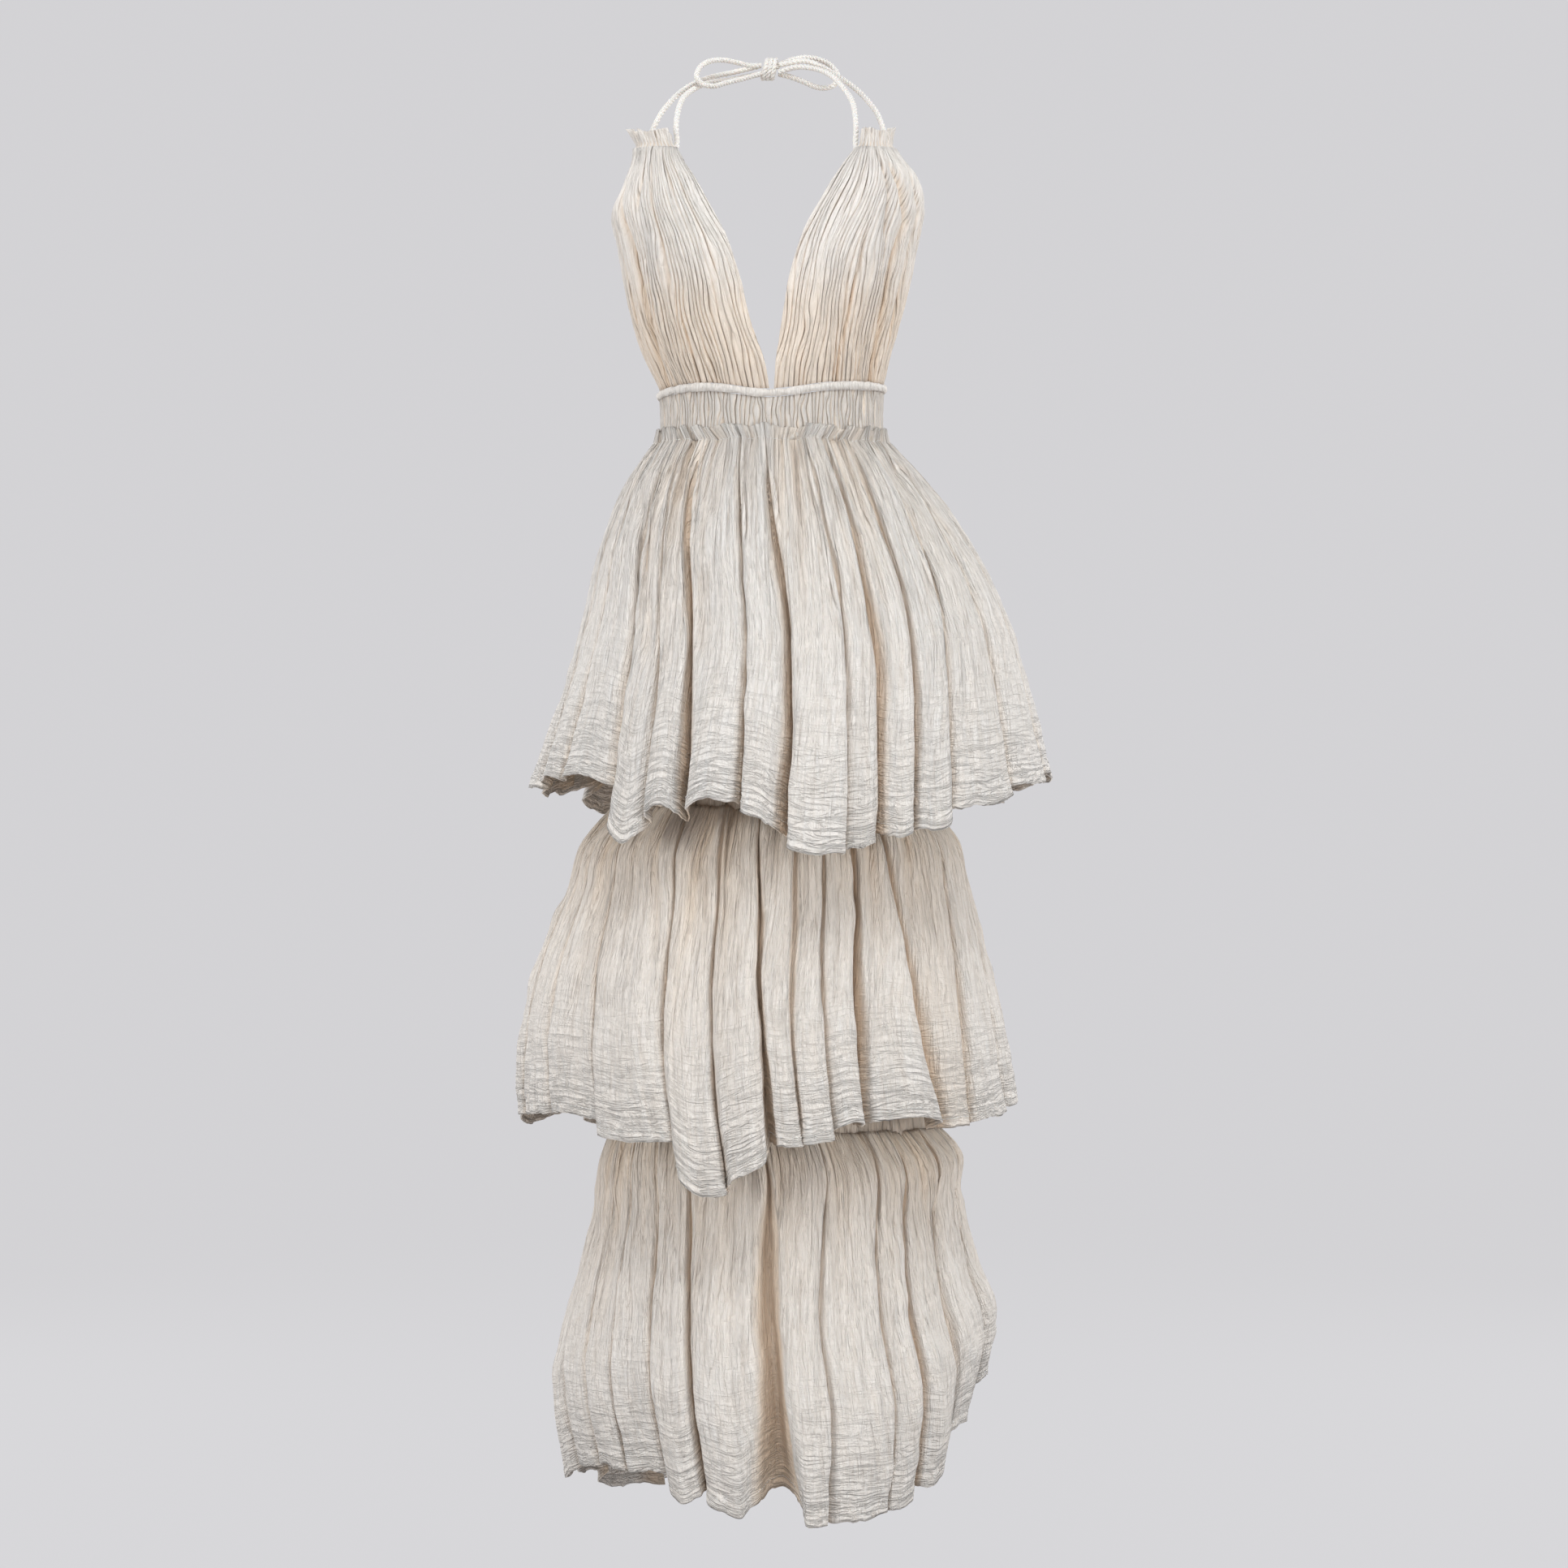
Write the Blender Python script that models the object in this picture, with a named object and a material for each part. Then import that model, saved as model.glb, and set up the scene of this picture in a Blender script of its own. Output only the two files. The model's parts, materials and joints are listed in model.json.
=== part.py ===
"""A halter-neck maxi dress in crinkled cotton gauze, hollow as it is worn.

Two gathered bodice panels hang from cords tied behind the neck. They meet a shirred waistband under a
rolled piping, and three gathered tiers fall from the waistband and from a plain underskirt.

Sizes are in millimetres, and MM turns them into metres. The origin is where the tied cords rest on the
nape. +Z is up and the front faces -Y, so the wearer's right is at -X. Angles go round the body in degrees
from the front, and grow towards the wearer's left.
"""

import math
from collections import namedtuple

import bmesh
import bpy
import numpy as np

MM = 0.001

# Cloth, cord and seams
CLOTH = 1.6
WAISTBAND_CLOTH = 2.2
SEAM_GAP = 0.3
RING_GAP = 0.4
CORD = 6.0
BODY_X, BODY_Y = 2.5, -75.0

# How much further out a wall's corner stands on a sharp fold than on flat cloth, at most
MITRE_LIMIT = 2.5

# Heights of the seams and hems
PIPING_Z = -350.0
PIPING_HIGH = 8.0
PIPING_DEEP = 6.5
PIPING_CLEARANCE = 0.6
HEADING_TOP = -386.0
TIER_1_SEAM = -400.5
WAISTBAND_FOOT = -402.5
TIER_2_SEAM = -775.0
TIER_3_SEAM = -1106.5
UNDERSKIRT_FOOT = -1114.0

# The waistband's outer half axes, and its ribs of shirring
WAIST_HALF_WIDTH = 117.5
WAIST_HALF_DEPTH = 88.0
SHIRRING_RIBS = 40
SHIRRING_DEPTH = 1.1

# A tier's gathers stand out from the seam that holds them, each with a dimple that fades downwards. The
# corner is how far the wall's face stands in from its middle at the bottom of a gather.
GATHER_DEPTH = 5.0
GATHER_CORNER = 1.4
GATHER_MOUTH = 5.0
GATHER_DIMPLE = 3.5
HEADING_FLARE = 0.03

# How the folds open from the seam to the hem, as a power of the share of the way down, how far in a
# ridge's shoulders lie as a share of its valley's depth, and how much of a shoulder's hem is its ridge's
FOLD_OPENING = 0.9
SHOULDER_INSET = 0.1
SHOULDER_TO_RIDGE = 0.6

# The shares of the way down a tier at which it has a row of points
TIER_ROWS = (0, 0.08, 0.26, 0.5, 0.75, 1)

CREAM = (0.86, 0.79, 0.70, 1.0)
CORD_CREAM = (0.88, 0.83, 0.76, 1.0)

# How far the piping's middle rides above its mean height, at angles round the waist
Wave = namedtuple("Wave", "angle rise")
# One horizontal section of a skirt: the oval that its folds' crowns follow
Form = namedtuple("Form", "z centre_x half_width half_depth")
# One valley of a tier, with the ridge on its left side as worn (the next greater angle).
# top and hem are the valley's angles, depth and mouth its size at the hem, lean how far its bottom
# slips under one ridge, drop how far its hem hangs below the tier's, proud and low the same ridge's
# stand-out and hem.
Fold = namedtuple("Fold", "top hem depth mouth lean drop proud low")
# One horizontal section of a bodice panel, an arc of an oval. side and neck are how far out from the
# middle its outermost point and its neckline edge lie, and back is the angle of its back edge.
Arc = namedtuple("Arc", "z side neck half_width half_depth centre_y back")

PIPING_WAVES = (
    Wave(-180, 0), Wave(-90, -2.3), Wave(-29, 1.3), Wave(-4, -5), Wave(32, 3), Wave(90, 5), Wave(180, 0),
)
UNDERSKIRT_FORM = (
    Form(WAISTBAND_FOOT - SEAM_GAP, BODY_X, WAIST_HALF_WIDTH, WAIST_HALF_DEPTH),
    Form(-514, 3, 134, 102),
    Form(TIER_2_SEAM, 4, 160, 126),
    Form(UNDERSKIRT_FOOT, 6, 165, 131),
)
TIER_1_FORM = (
    Form(-432, 6, 150, 116),
    Form(-494, 15.5, 187, 147),
    Form(-583, 28, 221, 175),
    Form(-667, 28, 244, 195),
    Form(-751.5, 25, 267, 212),
)
TIER_1_FRONT = (
    Fold(-78, -80, 14, 10, 0, 10, 0, -4),
    Fold(-66, -63, 10, 12, 0, 0, 2, -8),
    Fold(-54, -45, 32, 8, 2, 16, 5, 62),
    Fold(-45, -35, 12, 8, 0, 42, 6, 24),
    Fold(-35, -24.5, 40, 12, -2, 40, 4, 17),
    Fold(-15, -13, 28, 7, 2, 24, 7, 36),
    Fold(-3, -3, 40, 12, 2, 58, 9, 73),
    Fold(16, 11, 14, 5, -1, 72, 0, 66),
    Fold(26, 19.7, 34, 11, 0, 52, 4, 57),
    Fold(38, 27.5, 30, 8, 0, 48, 4, 49),
    Fold(52, 37, 20, 6, -2, 30, 0, 24),
    Fold(64, 57, 8, 12, 0, 8, 2, 3),
    Fold(77, 78, 10, 12, 0, -5, 0, -9),
)
TIER_2_FORM = (
    Form(-814, 1, 195, 155),
    Form(-864.5, -1, 209, 166),
    Form(-936.5, -7, 231, 183),
    Form(-1014.5, -8.5, 247, 197),
    Form(-1101.5, -3, 255, 206),
)
TIER_2_FRONT = (
    Fold(-80, -80, 12, 12, 0, -8, 0, -10),
    Fold(-67, -60, 10, 12, 0, -12, 2, -14),
    Fold(-54, -41, 18, 8, 0, -4, 5, 10),
    Fold(-31, -21, 34, 7, 2, 10, 4, 64),
    Fold(-16.5, -9, 16, 5, 0, 62, 7, 40),
    Fold(-4, 2, 38, 9, -2, 12, 4, 16),
    Fold(7, 8.5, 14, 6, 0, 12, 4, 10),
    Fold(16, 16, 12, 6, 0, 2, 5, -8),
    Fold(26, 24, 40, 12, 0, -4, 6, -14),
    Fold(36, 45.5, 28, 22, -1, 2, -3, 0),
    Fold(64, 57, 14, 8, 0, -2, 4, -9),
    Fold(77, 74, 10, 10, 0, -14, 6, -20),
)
TIER_3_FORM = (
    Form(-1137, 11, 186, 150),
    Form(-1200, 8, 189, 156),
    Form(-1284, 2.5, 203, 168),
    Form(-1360, 5, 220, 182),
    Form(-1467.5, 5, 206, 184),
)
TIER_3_FRONT = (
    Fold(-82, -80, 14, 12, 0, -14, 0, -14),
    Fold(-67, -61, 12, 12, 0, -20, 2, -21),
    Fold(-56, -46, 10, 8, 0, -19, 3, -20),
    Fold(-44, -31.5, 28, 7, 2, -22, 4, 8),
    Fold(-31, -19.5, 32, 9, -2, -12, 4, 21),
    Fold(-5, 1, 48, 42, 2, -6, 8, 30),
    Fold(14, 16, 6, 10, 0, 27, 6, 24),
    Fold(32, 34, 12, 6, 0, 18, 2, 17),
    Fold(43, 45, 24, 10, 0, -4, 2, -1),
    Fold(60, 58, 12, 8, 0, -30, 5, -66),
    Fold(77, 77, 10, 10, 0, -88, 14, -105),
)
BODICE_RIGHT = (
    Arc(-345, 114, -0.2, 116, 88, BODY_Y, 106),
    Arc(-324, 124, 4, 118, 97, BODY_Y, 104),
    Arc(-282, 139.5, 19, 110, 106, BODY_Y, 102),
    Arc(-240, 150, 29, 100, 113, BODY_Y, 100),
    Arc(-198, 158, 43, 90, 116, BODY_Y, 100),
    Arc(-158, 163, 64, 80, 105, -78, 100),
    Arc(-130, 157, 80, 61, 80, -87, 103),
    Arc(-116, 148, 89, 43, 52, -97, 108),
    Arc(-108, 137, 97, 23, 25, -110, 112),
)
BODICE_LEFT = (
    Arc(-345, 119, 5, 116, 88, BODY_Y, 106),
    Arc(-324, 124, 6.5, 112, 97, BODY_Y, 104),
    Arc(-282, 135.5, 13, 107, 106, BODY_Y, 102),
    Arc(-240, 146, 20, 98, 113, BODY_Y, 100),
    Arc(-198, 154, 32, 89, 116, BODY_Y, 100),
    Arc(-158, 162, 53, 82, 105, -78, 100),
    Arc(-130, 163, 70, 68, 82, -87, 103),
    Arc(-113, 151, 81, 46, 52, -97, 108),
    Arc(-108, 128, 91, 23, 25, -110, 112),
)
BODICE_PLEATS = 20
PLEAT_DEPTH = 2.2
SIDE_PLEAT_AT = 0.80
SIDE_PLEAT_WIDE = 0.035
SIDE_PLEAT_DEPTH = 9.0

# The channel for the cord at the top of each panel, and the frill that stands above it
CASING_INSET = 1.5
CASING_HIGH = 9.0
CASING_DEEP = 9.5
FRILL_HIGH = 15.0
FRILL_FLARE = 1.16
FRILL_WAVES = 5
FRILL_WAVE = 4.0
FRILL_CLOTH = 1.8
# The share of the frill's height lost at its lowest, how much of a wave it has halfway up, how high its
# foot starts, and where round the channel it starts, in degrees
FRILL_DIP = 0.14
FRILL_HALFWAY = 0.45
FRILL_FOOT = 1.5
FRILL_FROM = 40
CASING_PUCKER = 0.08


def through(knots, values, at):
    """The smooth curve through the points (knots, values), read at the places at."""
    knots, values, at = (np.asarray(x, float) for x in (knots, values, at))
    slopes = np.gradient(values, knots)
    left = np.clip(np.searchsorted(knots, at) - 1, 0, len(knots) - 2)
    right = left + 1
    step = knots[right] - knots[left]
    s = (at - knots[left]) / step
    return (
        (1 + 2 * s) * (1 - s) ** 2 * values[left]
        + s * (1 - s) ** 2 * step * slopes[left]
        + s**2 * (3 - 2 * s) * values[right]
        + s**2 * (s - 1) * step * slopes[right]
    )


def column(table, name, at):
    """One column of a table of sections, read at the shares `at` of the way down or up the table."""
    heights = np.array([row.z for row in table], float)
    shares = (heights - heights[0]) / (heights[-1] - heights[0])
    return through(shares, [getattr(row, name) for row in table], at)


def oval(angle, centre_x, centre_y, half_width, half_depth):
    """The point of an oval at an angle from the front."""
    turn = np.radians(angle)
    return centre_x + half_width * np.sin(turn), centre_y - half_depth * np.cos(turn)


def cotton(name, colour, roughness):
    """A matt cloth or cord finish."""
    made = bpy.data.materials.get(name) or bpy.data.materials.new(name)
    made.use_nodes = True
    shader = made.node_tree.nodes["Principled BSDF"]
    shader.inputs["Base Color"].default_value = colour
    shader.inputs["Roughness"].default_value = roughness
    shader.inputs["Metallic"].default_value = 0.0
    return made


def show(name, points, faces, finish):
    """Adds a mesh object from points in millimetres, shaded smooth but for its sharp rims."""
    mesh = bpy.data.meshes.new(name)
    mesh.from_pydata((np.asarray(points) * MM).tolist(), [], faces)
    mesh.validate()
    bm = bmesh.new()
    bm.from_mesh(mesh)
    bmesh.ops.recalc_face_normals(bm, faces=bm.faces)
    bm.to_mesh(mesh)
    bm.free()
    mesh.shade_smooth()
    mesh.set_sharp_from_angle(angle=math.radians(50))
    mesh.materials.append(finish)
    made = bpy.data.objects.new(name, mesh)
    bpy.context.scene.collection.objects.link(made)
    return made


def offsets_of(grid, round_it):
    """How far the two faces of a wall stand out from each point of a grid of rows and columns, for each
    millimetre of half the wall. A point on a fold stands out further, as a mitre does, so the wall keeps
    its thickness beside it. round_it joins the last column to the first."""
    after = np.roll(grid, -1, axis=1) - grid
    before = np.roll(after, 1, axis=1)
    if not round_it:
        after[:, -1] = before[:, -1]
        before[:, 0] = after[:, 0]
    down = np.gradient(grid, axis=0)
    left, right = (np.cross(across, down) for across in (before, after))
    left /= np.linalg.norm(left, axis=2, keepdims=True)
    right /= np.linalg.norm(right, axis=2, keepdims=True)
    between = left + right
    between /= np.linalg.norm(between, axis=2, keepdims=True)
    return between / np.maximum((between * left).sum(axis=2, keepdims=True), 1 / MITRE_LIMIT)


def cloth_wall(name, grid, thickness, finish, round_it):
    """A closed wall of cloth with the grid as its middle surface. grid is rows, columns, xyz. Each of its
    quads bends along its shorter diagonal, the same one on both sides, so the wall keeps its thickness."""
    rows, columns = grid.shape[:2]
    half = offsets_of(grid, round_it) * thickness / 2
    points = np.concatenate([(grid + half).reshape(-1, 3), (grid - half).reshape(-1, 3)])
    middle = grid.reshape(-1, 3)
    behind = rows * columns

    def at(row, col):
        return row * columns + col % columns

    last = columns if round_it else columns - 1
    faces = []
    for row in range(rows - 1):
        for col in range(last):
            a, b, c, d = at(row, col), at(row, col + 1), at(row + 1, col + 1), at(row + 1, col)
            if np.linalg.norm(middle[a] - middle[c]) <= np.linalg.norm(middle[b] - middle[d]):
                halves = [a, b, c], [a, c, d]
            else:
                halves = [a, b, d], [b, c, d]
            for half_quad in halves:
                faces += [half_quad, [behind + p for p in reversed(half_quad)]]
    rims = [(at(row, col), at(row, col + 1)) for row in (0, rows - 1) for col in range(last)]
    if not round_it:
        rims += [(at(row, col), at(row + 1, col)) for col in (0, columns - 1) for row in range(rows - 1)]
    faces += [[a, b, behind + b, behind + a] for a, b in rims]
    return show(name, points, faces, finish)


def cord(name, route, finish):
    """A tube of the cords' diameter along the smooth curve through a route of hand-placed points."""
    route = np.array(route, float)
    along = np.concatenate([[0], np.cumsum(np.linalg.norm(np.diff(route, axis=0), axis=1))])
    steps = max(4, round(along[-1] / (2.2 * CORD)))
    places = np.linspace(0, along[-1], steps + 1)
    line = np.stack([through(along, route[:, k], places) for k in range(3)], axis=1)
    curve = bpy.data.curves.new(name, "CURVE")
    curve.dimensions = "3D"
    curve.bevel_depth = CORD / 2 * MM
    curve.bevel_resolution = 2
    curve.use_fill_caps = True
    spline = curve.splines.new("POLY")
    spline.points.add(len(line) - 1)
    for point, place in zip(spline.points, line * MM):
        point.co = (*place, 1)
    curve.materials.append(finish)
    made = bpy.data.objects.new(name, curve)
    bpy.context.scene.collection.objects.link(made)
    return made


# The skirt's tiers


def all_folds(front, back_count, back_depth, back_drop):
    """The front's folds from the table, and a like row of them round the back, made uneven by waves of
    their own numbers."""
    folds = list(front)
    first, last = front[-1], front[0]
    for k in range(1, back_count + 1):
        share = k / (back_count + 1)
        sway = math.sin(2.3 * k)
        top = first.top + (last.top + 360 - first.top) * share + 1.5 * sway
        hem = first.hem + (last.hem + 360 - first.hem) * share + 3.0 * sway
        hang = back_drop + 12 * math.sin(2.6 * k + 0.5)
        low = first.low + (last.low - first.low) * share + hang * math.sin(math.pi * share)
        folds.append(
            Fold(
                top,
                hem,
                depth=back_depth * (0.85 + 0.35 * math.sin(1.7 * k + 1)),
                mouth=9 + 3 * math.cos(2.9 * k),
                lean=2 * math.sin(2.1 * k),
                drop=low - 8 * math.sin(1.3 * k) - 8,
                proud=3 + 3 * math.cos(1.9 * k),
                low=low,
            )
        )
    return folds


def seam_form(z):
    """The section of a tier at its seam, where its gathers' valleys lie on the underskirt."""
    share = (z - UNDERSKIRT_FORM[0].z) / (UNDERSKIRT_FORM[-1].z - UNDERSKIRT_FORM[0].z)
    centre_x, half_width, half_depth = (
        column(UNDERSKIRT_FORM, name, max(0, share)) for name in Form._fields[1:]
    )
    stand = RING_GAP + GATHER_CORNER + GATHER_DEPTH
    return Form(z, float(centre_x), half_width + stand, half_depth + stand)


def tier_grid(form, folds, shares):
    """A tier's middle surface: for each share of the way down, four points to a fold."""
    seam, hem = form[0].z, form[-1].z
    tables = {name: np.array([getattr(fold, name) for fold in folds], float) for name in Fold._fields}
    rows = []
    for share in shares:
        centre_x, half_width, half_depth = (column(form, name, share) for name in Form._fields[1:])
        spread = share**FOLD_OPENING
        valley = tables["top"] + (tables["hem"] - tables["top"]) * spread
        following = np.append(valley[1:], valley[0] + 360)
        depth = GATHER_DEPTH + (tables["depth"] - GATHER_DEPTH) * spread
        mouth = GATHER_MOUTH + (tables["mouth"] - GATHER_MOUTH) * spread
        half_mouth = np.degrees(mouth / 2 / half_depth)
        shoulder_in = SHOULDER_INSET * depth
        proud = tables["proud"] * spread
        dimple = GATHER_DIMPLE * (1 - share) ** 2
        bottoms = (valley + tables["lean"] * spread, depth, tables["drop"])
        ridge_drop = SHOULDER_TO_RIDGE * tables["low"]
        left_drop = ridge_drop + (1 - SHOULDER_TO_RIDGE) * tables["drop"]
        right_drop = ridge_drop + (1 - SHOULDER_TO_RIDGE) * np.roll(tables["drop"], -1)
        left = (valley + half_mouth, shoulder_in - proud, left_drop)
        crown = ((valley + following) / 2, dimple - proud, tables["low"])
        right = (following - np.roll(half_mouth, -1), np.roll(shoulder_in, -1) - proud, right_drop)
        angle, inset, drop = (
            np.stack([part[k] for part in (bottoms, left, crown, right)], axis=1).ravel()
            for k in range(3)
        )
        x, y = oval(angle, centre_x, BODY_Y, half_width - inset, half_depth - inset)
        z = seam + (hem - drop - seam) * share
        rows.append(np.stack([x, y, z], axis=1))
    return np.array(rows)


def tier(name, seam_z, form, folds, finish, heading=None):
    """One gathered tier. heading is the height that its gathers stand to above the seam, if they do."""
    seam = seam_form(seam_z)
    grid = tier_grid((seam, *form), folds, TIER_ROWS)
    if heading is not None:
        crest = grid[0].copy()
        crest[:, :2] += HEADING_FLARE * (crest[:, :2] - (seam.centre_x, BODY_Y))
        crest[:, 2] = heading
        grid = np.concatenate([crest[None], grid])
    cloth_wall(name, grid, CLOTH, finish, round_it=True)


def underskirt(finish):
    """The plain skirt under the tiers, which carries the lower two."""
    angles = np.arange(0, 360, 7.5)
    rows = []
    for form in UNDERSKIRT_FORM:
        x, y = oval(angles, form.centre_x, BODY_Y, form.half_width - CLOTH / 2, form.half_depth - CLOTH / 2)
        rows.append(np.stack([x, y, np.full_like(x, form.z)], axis=1))
    cloth_wall("underskirt", np.array(rows), CLOTH, finish, round_it=True)


# The waist


def piping_height(angle):
    """The height of the piping's middle, which rides up and down round the waist."""
    turn = (np.asarray(angle, float) + 180) % 360 - 180
    knots = [wave.angle for wave in PIPING_WAVES]
    return PIPING_Z + through(knots, [wave.rise for wave in PIPING_WAVES], turn)


def waistband(finish):
    """The shirred elastic band, ribbed from top to foot but for the strip that the skirt is sewn to."""
    angles = np.arange(2 * SHIRRING_RIBS) * 180 / SHIRRING_RIBS
    rib = np.where(np.arange(len(angles)) % 2 == 0, 0.0, SHIRRING_DEPTH)
    rows = []
    for share, ribbed, waisting in ((0, 1, 0.5), (0.4, 1, 1.6), (0.68, 1, 0.6), (1, 0, 0)):
        inset = rib * ribbed + waisting + WAISTBAND_CLOTH / 2
        x, y = oval(angles, BODY_X, BODY_Y, WAIST_HALF_WIDTH - inset, WAIST_HALF_DEPTH - inset)
        top = piping_height(angles) - PIPING_HIGH / 2 - SEAM_GAP
        rows.append(np.stack([x, y, top + (WAISTBAND_FOOT - top) * share], axis=1))
    cloth_wall("waistband", np.array(rows), WAISTBAND_CLOTH, finish, round_it=True)


def waist_piping(finish):
    """The rolled strip of cloth round the top of the waistband."""
    angles = np.arange(0, 360, 6.0)
    sides = 6
    points, faces = [], []
    for angle in angles:
        for side in range(sides):
            turn = 2 * math.pi * side / sides + math.pi / 2
            out = PIPING_DEEP / 2 * math.cos(turn) - WAISTBAND_CLOTH / 2
            x, y = oval(angle, BODY_X, BODY_Y, WAIST_HALF_WIDTH + out, WAIST_HALF_DEPTH + out)
            points.append((x, y, piping_height(angle) + PIPING_HIGH / 2 * math.sin(turn)))
    count = len(angles)
    for k in range(count):
        here, there = k * sides, (k + 1) % count * sides
        for side in range(sides):
            up = (side + 1) % sides
            faces.append([here + side, there + side, there + up, here + up])
    show("waist_piping", points, faces, finish)


# The bodice


def neck_angle(arc):
    """The angle of an arc's neckline edge."""
    return math.degrees(math.asin((arc.neck - arc.side) / arc.half_width + 1))


def bodice_panel(name, side, arcs, finish):
    """One gathered bodice panel, pleated from the cord channel down to the waist. side is -1 for the
    wearer's right and 1 for the left."""
    across = np.linspace(0, 1, 2 * BODICE_PLEATS + 1)
    pleats = np.where(np.arange(len(across)) % 2 == 0, 0.0, PLEAT_DEPTH)
    fold = SIDE_PLEAT_DEPTH * np.exp(-(((across - SIDE_PLEAT_AT) / SIDE_PLEAT_WIDE) ** 2))
    rows = []
    for arc in arcs:
        share = (arc.z - arcs[0].z) / (arcs[-1].z - arcs[0].z)
        angle = neck_angle(arc) + (arc.back - neck_angle(arc)) * across
        inset = pleats * min(1, 0.35 + share) * min(1, arc.half_width / 60) + CLOTH / 2
        inset = inset + fold * math.sin(math.pi * share) ** 0.7
        x, y = oval(
            angle, arc.side - arc.half_width, arc.centre_y, arc.half_width - inset, arc.half_depth - inset
        )
        foot = piping_height(side * angle) + PIPING_HIGH / 2 + PIPING_CLEARANCE
        height = arc.z + (foot - arcs[0].z) * (1 - share) ** 3
        rows.append(np.stack([side * x, y, height], axis=1))
    cloth_wall(name, np.array(rows), CLOTH, finish, round_it=False)


def casing(name, side, top, finish):
    """The gathered channel for the cord and the frill above it: one teardrop section, swept along the
    panel's top edge. Its frill waves from back to front and flares."""
    stations = 5 * FRILL_WAVES + 1
    channel = [(math.cos(a), math.sin(a)) for a in np.radians((-165, -90, -15, FRILL_FROM))]
    frill = FRILL_CLOTH / 2
    middle_z = top.z + CLOTH / 2 + SEAM_GAP + CASING_HIGH / 2
    neck_z = middle_z + CASING_HIGH / 2 * math.sin(math.radians(FRILL_FROM)) + 1.0
    points, faces = [], []
    for k in range(stations):
        share = k / (stations - 1)
        angle = neck_angle(top) + (top.back - neck_angle(top)) * share
        wave = FRILL_WAVE * math.sin(2 * math.pi * FRILL_WAVES * share)
        pucker = CASING_DEEP / 2 * (1 + CASING_PUCKER * math.cos(4 * math.pi * FRILL_WAVES * share))
        crest = neck_z + FRILL_HIGH * (1 - FRILL_DIP + FRILL_DIP * math.cos(7 * share))
        waist = (neck_z + crest) / 2
        section = [(pucker * c, middle_z + CASING_HIGH / 2 * s) for c, s in channel]
        halfway = FRILL_HALFWAY * wave
        section += [(frill, neck_z + FRILL_FOOT), (frill + halfway, waist), (frill + wave, crest)]
        section += [(wave - frill, crest), (halfway - frill, waist), (-frill, neck_z + FRILL_FOOT)]
        section += [(-pucker * math.cos(math.radians(FRILL_FROM)), neck_z - 1.0)]
        for out, z in section:
            flare = 1 + (FRILL_FLARE - 1) * max(0, z - neck_z) / FRILL_HIGH
            x, y = oval(
                angle,
                top.side - top.half_width,
                top.centre_y,
                (top.half_width - CASING_INSET) * flare + out,
                (top.half_depth - CASING_INSET) * flare + out,
            )
            points.append((side * x, y, z))
    ring = len(section)
    for k in range(stations - 1):
        for p in range(ring):
            q = (p + 1) % ring
            faces.append([k * ring + p, k * ring + q, (k + 1) * ring + q, (k + 1) * ring + p])
    faces.append(list(range(ring)))
    faces.append([(stations - 1) * ring + p for p in reversed(range(ring))])
    show(name, points, faces, finish)


# The cords and their bow

KNOT_CENTRE = (0.0, 9.0, 0.0)
KNOT_HALF = (10.0, 8.5, 12.0)
RIGHT_INNER = (
    (-96, -123.5, -103.2), (-94.8, -119, -94), (-96, -113, -80), (-95, -103, -64), (-90, -80, -44),
    (-81, -52, -31), (-64, -24, -19), (-42, -3, -13), (-10.3, 12.3, -4.5),
)
RIGHT_OUTER = (
    (-132.7, -98.3, -103.2), (-128.5, -93.5, -95), (-120.5, -91, -77), (-113, -83, -61),
    (-101, -66, -43), (-84, -40, -25), (-63, -14, -12), (-40, 6, -4), (-10.3, 12.3, 4.2),
)
LEFT_INNER = (
    (89.4, -126.7, -103.2), (88.6, -122, -95), (89.3, -117, -84), (89, -109, -70), (87, -92, -52),
    (78.6, -62, -32), (62, -33, -11), (45, -14, -2), (27, -2, 0.5), (10.3, 4.5, -3.5),
)
LEFT_OUTER = (
    (123.7, -98.3, -103.2), (121.5, -93.5, -95), (118.5, -92, -80), (113, -84, -62), (103, -68, -45),
    (88, -47, -27), (72, -27, -13), (56, -12, -1), (38, 0, 7.5), (10.3, 4.5, 4.2),
)
RIGHT_LOOP = (
    (-9.3, 4.8, 3.6), (-20, 0, 2.5), (-35.2, -10, 4.5), (-52.9, -24, 5), (-67.2, -38, -0.5),
    (-74.3, -48, -9.3), (-75.9, -52, -17.4), (-70.3, -50, -23.9), (-60.7, -42, -25),
    (-44.6, -26, -19), (-28.5, -12, -13), (-9.3, 4.8, -5.2),
)
LEFT_LOOP = (
    (9.3, 12.1, 4.5), (21, 15, 10.4), (38.5, 15, 13.6), (55, 9, 9.5), (66.4, 3, 1.5),
    (71.9, -1, -8.3), (68, -1, -18), (59.7, 2, -20.5), (48, 8, -18.5), (36.9, 12, -13),
    (21, 14, -7), (9.3, 12.1, -4.5),
)


def bow_knot(finish):
    """The knot of the bow, as one rounded lump."""
    mesh = bpy.data.meshes.new("bow_knot")
    bm = bmesh.new()
    bmesh.ops.create_uvsphere(bm, u_segments=12, v_segments=8, radius=1)
    bmesh.ops.scale(bm, vec=[half * MM for half in KNOT_HALF], verts=bm.verts)
    bm.to_mesh(mesh)
    bm.free()
    mesh.shade_smooth()
    mesh.materials.append(finish)
    made = bpy.data.objects.new("bow_knot", mesh)
    made.location = [place * MM for place in KNOT_CENTRE]
    bpy.context.scene.collection.objects.link(made)


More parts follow.
